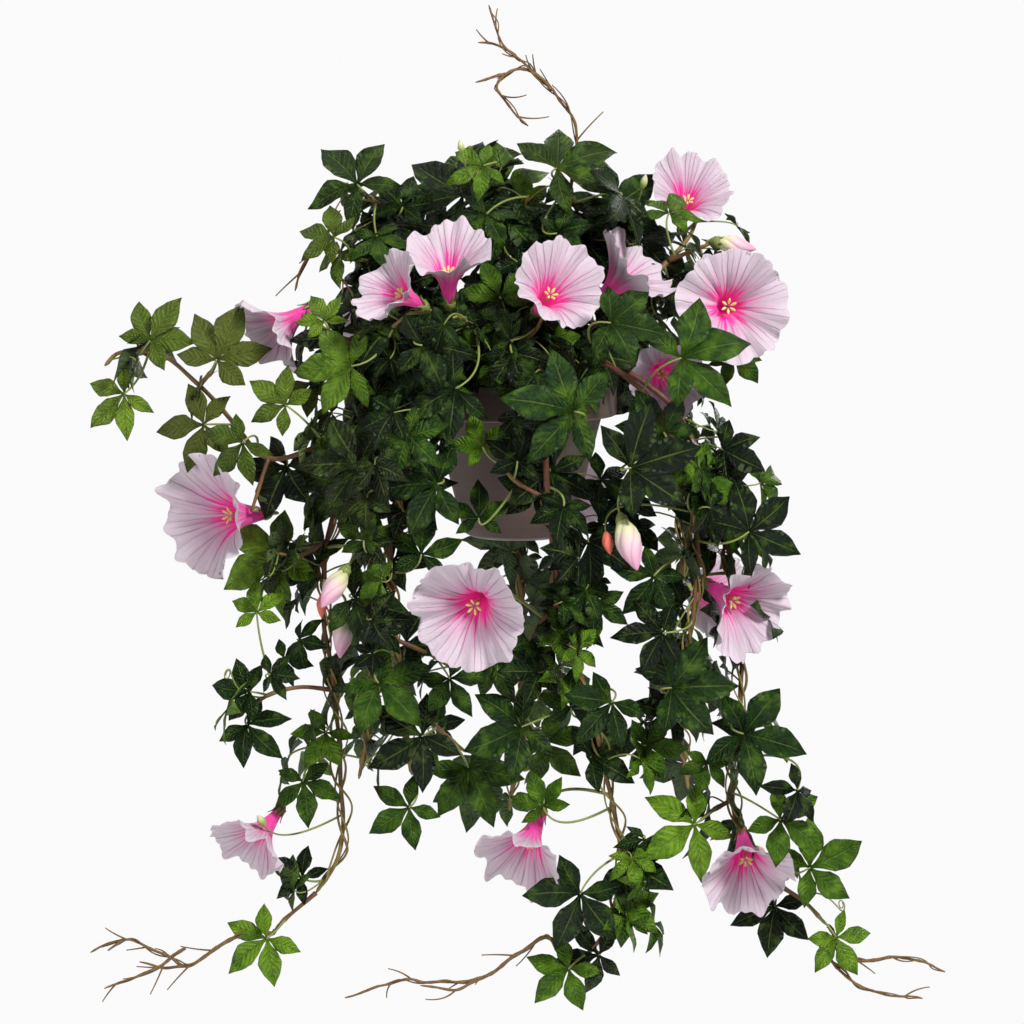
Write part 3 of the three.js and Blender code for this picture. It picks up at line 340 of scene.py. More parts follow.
# ---- stems ----
# Fifteen wire-cored canes of moulded plastic, each with its shoots, stand in the filler and trail.
# Their bark is red-brown and rubbery, turning olive toward the young ends, with a knuckle at each leaf.
# Each leaf row is its hub x, y, z, its reach, turn and facing; fill is how many more the rule adds.
STEMS = {
    "top_left": {"fill": 1, "canes": [
        [[-24, 14, 111], [-47, 0, 171], [-70, 10, 212], [-92, 10, 237], [-112, 0, 257]],
        [[-70, 10, 212], [-99, -12, 207], [-126, -20, 211]],
    ], "leaves": [
        [-119, -20, 265, 47, -40, -12], [-86, -5, 248, 32, 10, -5], [-104, -35, 227, 31, 165, -10],
        [-133, -35, 222, 34, -75, -20],
    ]},
    "top_mid": {"fill": 1, "canes": [
        [[0, 24, 111], [-10, 20, 177], [-13, 25, 226], [-22, 15, 261], [-30, 0, 276]],
        [[-13, 25, 226], [2, 10, 242], [8, 0, 257]],
    ], "leaves": [
        [-41, 5, 257, 59, -43, -5], [-11, 25, 262, 51, -4, 0], [-25, -45, 279, 31, -115, 0],
        [-23, -40, 249, 39, 195, 0], [8, -5, 253, 38, -50, 5],
    ]},
    "top_right": {"fill": 1, "canes": [
        [[24, 12, 111], [32, 10, 178], [47, 10, 219], [43, 5, 249], [33, -5, 267]],
        [[47, 10, 219], [62, 20, 232], [79, 25, 239]],
    ], "leaves": [
        [29, -25, 277, 56, 55, 5], [68, 20, 245, 49, 62, 15], [29, -50, 232, 30, 75, 0],
        [96, 5, 229, 43, 80, 20],
    ]},
    "right_up": {"fill": 1, "canes": [
        [[41, -4, 111], [50, -20, 153], [87, -25, 180], [112, -15, 208], [129, 0, 226], [135, 5, 238]],
        [[112, -15, 208], [132, -25, 217], [144, -28, 222]],
    ], "leaves": [
        [117, -40, 204, 41, 150, 15], [112, -8, 238, 33, 20, 10], [164, -30, 143, 30, 160, 15],
    ]},
    "left_arm": {"fill": 1, "canes": [
        [[-42, -10, 111], [-63, -45, 142], [-101, -70, 112], [-144, -85, 77], [-182, -80, 67],
         [-209, -70, 93], [-234, -60, 119], [-264, -50, 141], [-293, -45, 142], [-306, -45, 132]],
        [[-182, -80, 67], [-189, -85, 44], [-195, -85, 28]],
        [[-234, -60, 119], [-224, -70, 129], [-220, -72, 137]],
    ], "leaves": [
        [-269, -65, 152, 39, 34, -10], [-292, -60, 115, 38, -140, -12], [-219, -80, 139, 45, 23, -10],
        [-167, -105, 108, 33, -57, -5], [-228, -85, 92, 41, -95, -12], [-196, -100, 79, 36, -150, -8],
    ]},
    "left_up": {"fill": 1, "canes": [
        [[-44, 8, 111], [-69, -30, 150], [-104, -75, 149], [-132, -85, 157], [-154, -75, 171]],
        [[-104, -75, 149], [-88, -95, 165], [-77, -100, 175]],
    ], "leaves": [
        [-119, -115, 137, 45, -95, -8], [-139, -100, 168, 26, -30, -15], [-157, -95, 131, 35, -120, -15],
    ]},
    "front_mid": {"fill": 0, "canes": [
        [[-14, -30, 111], [-17, -65, 145], [-31, -85, 162], [-44, -92, 173]],
        [[-17, -65, 145], [9, -85, 157], [20, -90, 174]],
    ], "leaves": [
        [-13, -60, 184, 34, -20, 0], [-44, -130, 122, 44, -120, -5], [-68, -120, 152, 42, 95, 0],
        [-4, -115, 147, 35, 150, 0],
    ]},
    "front_left": {"fill": 0, "canes": [
        [[-32, -28, 111], [-51, -80, 134], [-66, -115, 102], [-83, -118, 55], [-92, -110, -4],
         [-88, -105, -63], [-84, -102, -112], [-77, -98, -165]],
        [[-88, -105, -63], [-64, -105, -74], [-48, -105, -84]],
        [[-84, -102, -112], [-57, -95, -132], [-38, -88, -150]],
    ], "leaves": [
        [-57, -140, 55, 48, -95, -3], [-115, -130, 70, 51, -98, -8], [-131, -105, 52, 49, -140, -10],
        [-110, -130, 13, 27, 5, -5], [-69, -132, 3, 36, 10, 0], [-119, -118, -30, 45, 110, -5],
        [-100, -128, -91, 44, 135, -3], [-49, -125, -88, 32, 150, 0], [-69, -122, -131, 46, -119, 0],
        [-79, -112, -186, 35, -125, 0], [-36, -95, -160, 47, 158, 0],
    ]},
    "left_trail": {"fill": 1, "canes": [
        [[-46, -24, 111], [-60, -55, 136], [-94, -62, 101], [-125, -68, 57], [-140, -70, 5],
         [-143, -72, -47], [-135, -75, -113], [-131, -75, -174], [-132, -72, -228], [-151, -70, -261]],
        [[-140, -70, 5], [-160, -78, -5], [-177, -82, -3]],
        [[-135, -75, -106], [-162, -80, -103], [-185, -84, -109], [-197, -85, -121]],
        [[-151, -70, -261], [-170, -72, -277], [-181, -74, -288]],
    ], "leaves": [
        [-196, -92, -104, 32, -85, -15], [-199, -90, -129, 35, 132, -6], [-141, -90, -135, 31, -150, -5],
        [-158, -88, -172, 34, 172, -10], [-160, -80, -247, 29, -60, -10], [-186, -82, -293, 40, -122, -4],
        [-183, -92, 0, 62, -128, -15], [-191, -88, -46, 28, -10, -15], [-180, -92, -75, 28, 95, -15],
    ]},
    "centre_trail": {"fill": 0, "canes": [
        [[10, -44, 111], [14, -88, 138], [20, -112, 98], [22, -116, 41], [32, -108, -33], [47, -103, -93],
         [60, -100, -142], [69, -98, -184], [77, -95, -230], [69, -92, -280]],
        [[22, -116, 41], [2, -118, 52], [-13, -118, 68]],
        [[32, -108, -33], [9, -100, -64], [2, -98, -102]],
        [[69, -92, -280], [55, -92, -299], [43, -92, -308]],
    ], "leaves": [
        [-28, -120, 28, 29, 0, 0], [33, -132, 38, 30, 190, 0], [51, -120, 11, 40, 178, 0],
        [57, -122, -33, 32, 185, 0], [39, -120, -111, 30, 0, 0], [68, -132, -104, 39, -140, 0],
        [3, -118, -125, 46, -112, 0], [4, -85, -88, 32, 110, 0], [20, -85, -143, 38, 135, 0],
        [19, -112, -186, 29, -20, 0], [46, -112, -250, 48, -147, 0], [77, -102, -263, 33, 127, 0],
        [38, -98, -311, 36, -138, 0], [40, -155, 108, 54, -78, 0], [0, -132, 69, 33, 5, 0],
        [-25, -126, 80, 26, -20, 0],
    ]},
    "right_front": {"fill": 0, "canes": [
        [[30, -34, 111], [58, -80, 139], [88, -100, 120], [109, -105, 89], [125, -100, 45],
         [131, -96, -6], [125, -95, -65], [113, -95, -110], [101, -92, -138]],
    ], "leaves": [
        [116, -135, 144, 54, 73, 5], [66, -130, 165, 43, 100, 0], [80, -145, 67, 54, 72, 5],
        [104, -132, 91, 39, -25, 5], [124, -115, 46, 45, 26, 10], [160, -105, 9, 54, 50, 12],
        [148, -95, 53, 25, 20, 12], [99, -125, -13, 37, -150, 5], [104, -132, -54, 37, -85, 5],
        [111, -130, -94, 50, 88, 5], [94, -112, -140, 32, 95, 5],
    ]},
    "right_trail": {"fill": 1, "canes": [
        [[47, -18, 111], [65, -45, 133], [105, -58, 112], [139, -65, 57], [157, -70, -9], [166, -72, -76],
         [163, -75, -143], [159, -78, -188], [171, -80, -222], [197, -80, -254]],
        [[159, -78, -188], [143, -82, -196], [134, -86, -203]],
        [[197, -80, -254], [216, -80, -267], [231, -80, -283]],
    ], "leaves": [
        [139, -104, -154, 25, -165, 5], [130, -102, -201, 46, -125, 3], [184, -115, -198, 48, 133, 8],
        [214, -112, -231, 43, 63, 10], [236, -95, -288, 33, 150, 10], [192, -92, -264, 41, 182, 5],
        [164, -108, -133, 51, 116, 8],
    ]},
    "back_left": {"fill": 6, "canes": [
        [[-30, 32, 111], [-62, 70, 140], [-95, 100, 110], [-115, 118, 50], [-120, 125, -20],
         [-112, 128, -90], [-118, 122, -160], [-128, 118, -215]],
        [[-62, 70, 140], [-85, 95, 175], [-100, 105, 205]],
    ], "leaves": []},
    "back_mid": {"fill": 6, "canes": [
        [[2, 48, 111], [10, 90, 140], [12, 128, 105], [8, 145, 40], [0, 150, -40], [10, 148, -115],
         [0, 142, -185], [-6, 138, -245]],
        [[10, 90, 140], [5, 110, 180], [0, 115, 220]],
    ], "leaves": []},
    "back_right": {"fill": 6, "canes": [
        [[44, 24, 111], [76, 58, 138], [108, 84, 105], [128, 100, 45], [132, 110, -30], [122, 115, -100],
         [130, 108, -170], [138, 104, -220]],
        [[76, 58, 138], [100, 80, 172], [112, 92, 205]],
    ], "leaves": []},
}
CANE_STEP = 38
SPAN_PARTS = 5
CANE_FOOT = 85
CANE_RADII, SHOOT_RADII = (2.4, 1.5), (1.8, 1.2)
CANE_SIDES = 10
CANE_RING_GAP = 3.2
CANE_SWAY = 0.45
KNUCKLE_RISE, KNUCKLE_SIZE = 0.4, 3
BARK_YOUNG, BARK_OLD, BARK_CRACK = (140, 126, 64), (104, 52, 46), (60, 34, 28)
STALK_COLOUR = (128, 142, 72)


def dice(seed):
    """The plant's own dice: state = state * 16807 mod (2^31 - 1), as a share of that."""
    state = seed * 7919 + 17
    while True:
        state = (state * 16807) % 2147483647
        yield state / 2147483647


def on_curve(points, t):
    """Catmull-Rom through the points, its ends mirrored: half of 2b + (c-a)s + (2a-5b+4c-d)s2 +
    (3b-a-3c+d)s3. t is one share or an array of them."""
    p = np.array(points, float)
    p = np.concatenate([[2 * p[0] - p[1]], p, [2 * p[-1] - p[-2]]])
    last = len(p) - 3
    place = np.clip(np.asarray(t, float), 0, 1) * last
    i = np.minimum(place.astype(int), last - 1)
    s = (place - i)[..., None]
    a, b, c, d = p[i], p[i + 1], p[i + 2], p[i + 3]
    return 0.5 * (2 * b + (c - a) * s + (2 * a - 5 * b + 4 * c - d) * s**2 + (3 * b - a - 3 * c + d) * s**3)


def chain(points):
    """The cane's joints: each span is cut into straight steps of about CANE_STEP."""
    last = len(points) - 1
    out = [np.array(points[0], float)]
    for k in range(last):
        spans = max(1, math.floor(math.dist(points[k], points[k + 1]) / CANE_STEP + 0.5))
        out += [on_curve(points, (k + j / spans) / last) for j in range(1, spans + 1)]
    return np.array(out)


def samples_of(stem):
    """Where a leaf stalk may root: SPAN_PARTS places on each step of the stem's canes and shoots."""
    out = []
    for points in STEMS[stem]["canes"]:
        joints = chain(points)
        for a, b in zip(joints, joints[1:]):
            out += [a + (b - a) * (j - 0.5) / SPAN_PARTS for j in range(1, SPAN_PARTS + 1)]
    return np.array(out)


def unit(v):
    """The vectors of v, each divided by its length."""
    v = np.asarray(v, float)
    return v / np.maximum(np.linalg.norm(v, axis=-1, keepdims=True), 1e-9)


def tubes(paths, radii, sides, **tags):
    """Round tubes along paths (tubes, points, 3). The section is turned with the path from its start:
    its side is the last side less its share along the way."""
    paths = np.asarray(paths, float)
    way = unit(np.gradient(paths, axis=1))
    guide = np.where(np.abs(way[:, :1, 2:]) < 0.9, [[[0, 0, 1.0]]], [[[1.0, 0, 0]]])[:, 0]
    side = np.empty_like(paths)
    for k in range(paths.shape[1]):
        guide = unit(guide - (guide * way[:, k]).sum(-1, keepdims=True) * way[:, k])
        side[:, k] = guide
    other = np.cross(way, side)
    angle = 2 * np.pi * np.arange(sides) / sides
    radii = np.broadcast_to(np.asarray(radii, float), paths.shape[:2])[..., None, None]
    around = side[:, :, None] * np.cos(angle)[:, None] + other[:, :, None] * np.sin(angle)[:, None]
    return loft(paths[:, :, None] + radii * around, **tags)


def quad_curve(start, bend, end, count):
    """Bezier curves through arrays of three points: (1-t)^2 a + 2t(1-t) b + t^2 c."""
    t = np.linspace(0, 1, count)[:, None]
    start, bend, end = [np.asarray(v, float)[:, None] for v in (start, bend, end)]
    return (1 - t) ** 2 * start + 2 * t * (1 - t) * bend + t**2 * end


def nearest(samples, spots):
    """The sample that is nearest to each of the spots."""
    gaps = np.linalg.norm(samples[None] - np.asarray(spots, float)[:, None], axis=2)
    return samples[gaps.argmin(axis=1)]


def way_along(joints):
    """The way in mm from the first joint to each of them, in straight steps."""
    return np.concatenate([[0], np.cumsum(np.linalg.norm(np.diff(joints, axis=0), axis=1))])


def line_at(joints, way):
    """The curve through the joints, at each way in mm along their straight steps."""
    place = np.interp(way, way_along(joints), np.arange(len(joints)))
    return on_curve(joints, place / (len(joints) - 1))


def cane_tube(points, radii, seed, knuckle_at):
    """One cane: the joints' line softened and swayed, thinner to the tip, a low knuckle at each leaf.
    radius = lerp(radii) * (1 + KNUCKLE_RISE exp(-(d / KNUCKLE_SIZE)^2) + 0.05 waves), d the way in mm
    to the nearest knuckle."""
    joints = chain(points)
    length = way_along(joints)[-1]
    share = np.linspace(0, 1, max(12, int(length / CANE_RING_GAP)))
    way = share * length
    path = line_at(joints, way)
    path += CANE_SWAY * np.stack([np.sin(way / 9 + seed), np.sin(way / 7 + 2 * seed), 0 * way], 1)
    gap = np.linalg.norm(path[:, None] - knuckle_at[None], axis=2).min(axis=1)
    knuckle = KNUCKLE_RISE * np.exp(-((gap / KNUCKLE_SIZE) ** 2))
    radius = (radii[0] + (radii[1] - radii[0]) * share) * (1 + knuckle + 0.05 * np.sin(way / 4.1 + seed))
    radius[0] *= 1.1
    radius[-1] *= 0.4
    return path, radius, share


def tag_of(tree, name):
    """The value of a tag of the mesh."""
    return add_node(tree, "ShaderNodeAttribute", attribute_name=name).outputs["Fac"]


def cane_bark():
    """Rubbery bark by the tag age: 0 old red-brown, 1 young olive, 2 a lime stalk or sepal; blotched,
    with fine lengthwise grain."""
    finish, tree, _ = new_finish("cane_bark", 0.5, 0.45)
    blotch, fine, skin = place_grain(tree, 120.0, 900.0, 0.0005)
    age = tag_of(tree, "age")
    shade = times(tree, blotch, 0.7, maths(tree, "ADD", age, -0.35), clamp=True)
    colour = mix_of(tree, shade, linear(BARK_OLD), linear(BARK_YOUNG))
    lime = mix_of(tree, blotch, *shades(STALK_COLOUR, 0.8, 1.15))
    colour = mix_of(tree, step_of(tree, age, 1.2, 1.9), colour, lime)
    colour = mix_of(tree, times(tree, fine, 0.35), colour, linear(BARK_CRACK))
    return wired(finish, colour, times(tree, fine, 0.3, 0.35), skin)


BARK = cane_bark()
STEM_SAMPLES = {name: samples_of(name) for name in STEMS}

# ---- leaves ----
# Each leaf is a hand of five moulded leaflets on a wiry stalk, printed cloth-like, green and mottled.
# Every leaflet folds along its midrib, sags to its tip and ripples with its side veins.
LEAFLET_LENGTHS = np.array([0.68, 0.9, 1, 0.9, 0.68])
LEAFLET_HALF_WIDTH = 0.242
LEAF_TRIES = 26
LEAF_TRY_STEP = 4
LEAF_TRY_SHRINK = 0.012
LEAF_MATCH_GAP = 1.2
LEAF_HALF_THICKNESS = 0.2
OUTLINE_AT = [0, 0.06, 0.14, 0.24, 0.36, 0.48, 0.58, 0.7, 0.82, 0.92, 1]
OUTLINE_WIDE = [0.1, 0.13, 0.26, 0.54, 0.86, 1, 0.98, 0.8, 0.5, 0.22, 0.02]
HABITS = {"lift": (4, 20), "spread": (52, 13), "droop": (0.08, 0.16), "fold": (0.2, 0.25)}
FILL_HABITS = {"out": (14, 16), "along": (20, 16), "rise": (-6, 12), "reach": (33, 17), "turn": (30, 55)}
VEIN_PAIRS, VEIN_SLANT = 9.0, 2.2
LEAF_GREENS = {"dark": (9, 26, 8), "deep": (27, 54, 9), "mid": (68, 102, 16), "bright": (118, 158, 40),
               "sage": (136, 146, 60), "vein": (136, 158, 84), "patch": (98, 122, 50), "back": (96, 116, 78)}
GREEN_STOPS = ((0.0, "dark"), (0.32, "deep"), (0.66, "mid"), (0.95, "bright"))
TONE_SPOTS = [(-79, -186, 0.75), (-36, -160, -0.6), (-186, -293, 0.4), (38, -311, 0.5), (5, 235, 0.2)]
SPOT_SIZE = 20
BRIGHTEST = 0.82


def aim(facing, lift):
    """The way that is turned facing degrees round from the front and lift degrees up, in degrees."""
    f, l = np.radians(facing), np.radians(lift)
    return np.stack([np.sin(f) * np.cos(l), -np.cos(f) * np.cos(l), np.sin(l)], -1)


def drawn(habit, roll):
    """The next throw as a trait: the habit's least value plus the throw times its range."""
    return habit[0] + habit[1] * next(roll)


def leaf_traits(hub, reach, turn, facing, roll):
    """A leaf's place and habit, its lift, spread, droop and fold drawn in that order. Leaves over the
    rim lift more."""
    traits = {key: drawn(habit, roll) for key, habit in HABITS.items()}
    traits["lift"] += max(0.0, hub[2] - 120) * 0.18
    return {"hub": np.array(hub, float), "reach": reach, "turn": turn, "facing": facing, **traits}


def leaves_of(name):
    """The stem's leaves in order: its listed ones, then those that fill it along its first cane."""
    stem = STEMS[name]
    order = list(STEMS).index(name)
    roll = dice(order + 1)
    rows = [leaf_traits(row[:3], row[3], row[4], row[5], roll) for row in stem["leaves"]]
    roll = dice(order + 101)
    for k in range(stem["fill"]):
        spot = on_curve(stem["canes"][0], (k + 0.75) / stem["fill"])
        out = unit(spot * [1, 1, 0])
        side = 1 if k % 2 else -1
        along = np.array([-out[1] * side, out[0] * side, 0])
        hub = spot + out * drawn(FILL_HABITS["out"], roll) + along * drawn(FILL_HABITS["along"], roll)
        hub[2] += drawn(FILL_HABITS["rise"], roll)
        reach = drawn(FILL_HABITS["reach"], roll)
        way = out + 0.45 * along
        facing = math.degrees(math.atan2(way[0], -way[1]))
        rows.append(leaf_traits(hub, reach, 180 - side * drawn(FILL_HABITS["turn"], roll), facing, roll))
    return rows


def leaf_frame(traits, k=0):
    """Try k of a leaf: hub, ahead, side, normal and reach. A later try moves it along its normal,
    turns it and shrinks it."""
    normal = aim(traits["facing"], traits["lift"])
    hub = traits["hub"] + normal * math.ceil(k / 2) * (LEAF_TRY_STEP if k % 2 else -LEAF_TRY_STEP)
    twist = ((k * 37) % 31) - 15 if k else 0
    turn = math.radians(traits["turn"] + twist)
    way = aim(traits["facing"] + 90, 0) * math.sin(turn) + np.array([0, 0, math.cos(turn)])
    ahead = unit(way - (way @ normal) * normal)
    return hub, ahead, np.cross(normal, ahead), normal, traits["reach"] * (1 - LEAF_TRY_SHRINK * k)


def leaflet_tips(traits, k):
    """The five tips: at angle (k-2) spread in the leaf's plane, sunk by droop times reach."""
    hub, ahead, side, normal, reach = leaf_frame(traits, k)
    angle = np.radians((np.arange(5) - 2) * traits["spread"])
    u, v = LEAFLET_LENGTHS * reach * np.cos(angle), LEAFLET_LENGTHS * reach * np.sin(angle)
    sink = -traits["droop"] * (u * u + v * v) / reach
    return hub + u[:, None] * ahead + v[:, None] * side + sink[:, None] * normal


def settled(name):
    """The leaves that the solid carries, each with the try whose tips are corners of the solid."""
    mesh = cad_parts[name].data
    corners = np.empty(len(mesh.vertices) * 3, np.float32)
    mesh.vertices.foreach_get("co", corners)
    corners = corners.reshape(-1, 3) / MM
    tree = kdtree.KDTree(len(corners))
    for i, corner in enumerate(corners):
        tree.insert(corner, i)
    tree.balance()
    out = []
    for traits in leaves_of(name):
        gaps = [max(tree.find(tip)[2] for tip in leaflet_tips(traits, k)[1:4]) for k in range(LEAF_TRIES)]
        k = int(np.argmin(gaps))
        if gaps[k] < LEAF_MATCH_GAP:
            out.append((traits, k))
        else:
            print("leaf not found", name, traits["hub"], gaps[k])
    return out


def leaflet_rings(frames, traits, rows, half, rng):
    """Leaflets as closed thin lofts from hub to tip. In a leaflet of length L and outline h, t goes 0 to
    1 along it and w -1 to 1 across it: x = L t, y = w L h(t), and z = fold |y| - droop r^2 / reach
    + side veins + a slant and twist + a rippled edge - a sagging tip, plus or minus half its thickness."""
    hub, ahead, side, normal, reach = frames
    t = 0.5 - 0.5 * np.cos(np.linspace(0.04, 1, rows) * np.pi)
    t = (0.35 * t + 0.65 * np.linspace(0.012, 1, rows))[:, None]
    across = np.concatenate([np.linspace(-1, 1, half), np.linspace(1, -1, half)])
    top = np.concatenate([np.ones(half), -np.ones(half)])
    wide, edge = np.interp(t, OUTLINE_AT, OUTLINE_WIDE), np.abs(across)
    broad, phase, bend, twist = rng.uniform(-1, 1, (4, len(hub), 5))[..., None, None]
    length = (LEAFLET_LENGTHS * reach[:, None])[..., None, None]
    x = length * t + 0 * across
    waver = 1 + 0.035 * np.sin(26 * t + 9 * phase)
    y = across * length * (LEAFLET_HALF_WIDTH * (1 + 0.12 * broad)) * wide * waver
    bow = 0.045 * bend * length * np.sin(np.pi * t)
    angle = (np.arange(5) - 2) * np.radians(traits["spread"])[:, None] + 0.03 * twist[..., 0, 0]
    c, s = np.cos(angle)[..., None, None], np.sin(angle)[..., None, None]
    u, v = x * c - (y + bow) * s, x * s + (y + bow) * c
    fold, droop, far = [a[:, None, None, None] for a in (traits["fold"], traits["droop"], reach)]
    vein = np.sin(2 * np.pi * (VEIN_PAIRS * t - VEIN_SLANT * edge)) * edge * (1 - edge**4)
    lift = fold * (1 - 0.55 * t) * np.abs(y) - droop * (x * x + y * y) / far
    lift = lift + 0.015 * length * vein * wide
    lift = lift + x * 0.26 * broad + y * 0.55 * twist * t
    lift = lift + 0.055 * length * edge**6 * np.sin(7 * t + 6 * phase) * wide
    lift = lift - 0.06 * length * (4 * np.clip(t - 0.75, 0, 1)) ** 2 * (0.5 + bend)
    thick = LEAF_HALF_THICKNESS * (1 + 1.6 * np.exp(-((across / 0.12) ** 2)) * (1 - t))
    lift = lift + top * thick * np.where(edge > 0.99, 0.3, 1)
    place = [a[:, None, None, None, :] for a in (hub, ahead, side, normal)]
    rings = place[0] + u[..., None] * place[1] + v[..., None] * place[2] + lift[..., None] * place[3]
    return rings.reshape(-1, rows, 2 * half, 3)[:, :, ::-1]


def stalks(hubs, backs, roots, radius, count, sides, age):
    """Leaf stalks: a curve that leaves the hub backwards and sinks into the cane at its root."""
    hubs, backs, roots = [np.asarray(v, float) for v in (hubs, backs, roots)]
    far = np.linalg.norm(roots - hubs, axis=1, keepdims=True)
    paths = quad_curve(hubs, hubs + backs * 0.45 * far, roots, count)
    taper = np.linspace(0.85, 1.25, count)
    return tubes(paths, radius * taper, sides, age=np.full(len(paths), age))


def tone_of(hub, reach, rng):
    """A leaf's green, 0 dark to 1 bright, and its share of sage. Leaves low on the trails and to the
    right are painted brighter, painted light; those round the pot are painted darker, painted shade; large
    ones are darker; and chance adds to each. Sage is for the left arm. TONE_SPOTS are x, z and the gain
    within SPOT_SIZE of it."""
    x, y, z = hub.T
    high = np.clip((z - 120) / 160, 0, 1)
    inner = np.exp(-((x / 150) ** 2 + (z / 110) ** 2))
    low = np.clip((-20 - z) / 120, 0, 1)
    # Painted shade darkens the leaves round the pot (inner); painted light brightens the low ones (low) and,
    # on the next line, the lower right.
    tone = 0.45 - 0.07 * high + 0.13 * low - 0.24 * inner + rng.normal(0, 0.25, len(hub)) - 0.002 * reach
    tone = tone + 0.1 * np.clip((x - 80) / 60, 0, 1) * np.clip((60 - z) / 80, 0, 1)
    for spot_x, spot_z, gain in TONE_SPOTS:
        tone = tone + gain * np.exp(-((x - spot_x) ** 2 + (z - spot_z) ** 2) / SPOT_SIZE**2)
    sage = np.clip((-x - 90) / 160, 0, 1) * np.clip((z + 60) / 120, 0, 1) * rng.uniform(0.2, 1, len(hub))
    sage = sage + 0.1 * high * rng.uniform(0, 1, len(hub)) ** 2
    return np.clip(tone, 0, BRIGHTEST), np.clip(sage, 0, 1)


def grid_of(tree):
    """The grid UV: the share along a loft, and the share round it."""
    uv = add_node(tree, "ShaderNodeUVMap", uv_map="grid").outputs[0]
    return add_node(tree, "ShaderNodeSeparateXYZ", {0: uv}).outputs[:2]


def ramp_of(tree, share, stops):
    """A colour that runs through the stops, each a place and a colour."""
    node = add_node(tree, "ShaderNodeValToRGB", {0: share})
    for at, _ in stops[1:-1]:
        node.color_ramp.elements.new(at)
    for element, (at, colour) in zip(node.color_ramp.elements, stops):
        element.position, element.color = at, linear(colour)
    return node.outputs[0]


def bumped(tree, height, depth, skin):
    """A height, as deep in metres as depth says, laid over the grain's own normal."""
    return add_node(tree, "ShaderNodeBump", {"Height": height, "Distance": depth, "Normal": skin}).outputs[0]


def leaf_cloth():
    """Leaf print by the grid UV: a pale midrib and side veins, mottled green, a paler matt back."""
    finish, tree, _ = new_finish("leaf_cloth", 0.45, 0.27)
    green = {key: linear(colour) for key, colour in LEAF_GREENS.items()}
    along, around = grid_of(tree)
    cloud, speck, skin = place_grain(tree, 95.0, 1300.0, 0.0003)
    there_and_back = times(tree, maths(tree, "FRACT", times(tree, around, 2.0)), 2.0)
    across = maths(tree, "ABSOLUTE", minus(tree, there_and_back, 1.0))
    back = maths(tree, "LESS_THAN", around, 0.5)
    mottled = times(tree, minus(tree, cloud, 0.5), 0.9, tag_of(tree, "tone"))
    colour = ramp_of(tree, mottled, [(at, LEAF_GREENS[key]) for at, key in GREEN_STOPS])
    colour = mix_of(tree, times(tree, tag_of(tree, "sage"), 0.75), colour, green["sage"])
    rib = minus(tree, 1.0, step_of(tree, across, 0.02, 0.075), clamp=True)
    slant = minus(tree, times(tree, along, VEIN_PAIRS), times(tree, across, VEIN_SLANT))
    furrow = maths(tree, "PINGPONG", slant, 0.5)
    side_rib = times(tree, step_of(tree, furrow, 0.4, 0.49), minus(tree, 0.42, times(tree, across, 0.3)))
    ribs = maths(tree, "MAXIMUM", times(tree, rib, 0.6), times(tree, side_rib, 0.45))
    colour = mix_of(tree, ribs, colour, mix_of(tree, 0.5, colour, green["vein"]))
    colour = mix_of(tree, times(tree, step_of(tree, cloud, 0.52, 0.7), 0.26), colour, green["patch"])
    colour = mix_of(tree, times(tree, back, 0.4), colour, green["back"])
    rough = times(tree, speck, 0.24, times(tree, back, 0.3, 0.1))
    domes = times(tree, furrow, -1.6, speck)
    raised = times(tree, side_rib, -1.0, times(tree, rib, -1.5, domes))
    raised = times(tree, cloud, 5.0, raised)
    return wired(finish, colour, rough, bumped(tree, raised, 0.0011, skin))


LEAF_CLOTH = leaf_cloth()
LEAF_RNG = np.random.default_rng(11)
hero_leaves = {name: settled(name) for name in STEMS}


def frames_of(leaves):
    """Arrays of frames and of traits for a list of (traits, try)."""
    frames = [np.array(column, float) for column in zip(*[leaf_frame(traits, k) for traits, k in leaves])]
    return frames, {key: np.array([traits[key] for traits, _ in leaves]) for key in HABITS}


TRAILING = ("front_left", "left_trail", "centre_trail", "right_front", "right_trail", "back_left", "back_mid",
            "back_right")
STRAND_TURN = 62


def strands(name):
    """Three thin vines wound round the hanging part of a stem, each a third of a turn on: its line plus
    loose (cos a, sin a), where a turns once in about STRAND_TURN and loose swells in places."""
    joints = chain(STEMS[name]["canes"][0])
    length = way_along(joints)[-1]
    way = np.linspace(0.3 * length, 0.985 * length, int(length / 3.5))
    line = line_at(joints, way)
    fade = np.minimum(1, np.minimum(way - way[0], way[-1] - way) / 12)
    out = []
    for k in range(3):
        angle = 2 * np.pi * (way / (STRAND_TURN + 9 * k) + k / 3)
        loose = 3.2 + 1.9 * np.sin(way / 31 + 2 * k) ** 2 + (3.5 * np.sin(way / 57 + k) ** 4 if k else 0)
        offset = (loose * fade)[:, None] * np.stack([np.cos(angle), np.sin(angle), 0 * angle], 1)
        radius = 1.0 - 0.15 * k + 0.12 * np.sin(way / 6 + k)
        age = 0.75 + 0.35 * k + 0.2 * np.sin(way / 40)
        out.append(tubes((line + offset)[None], radius[None], 7, age=age[None, :, None]))
    return out


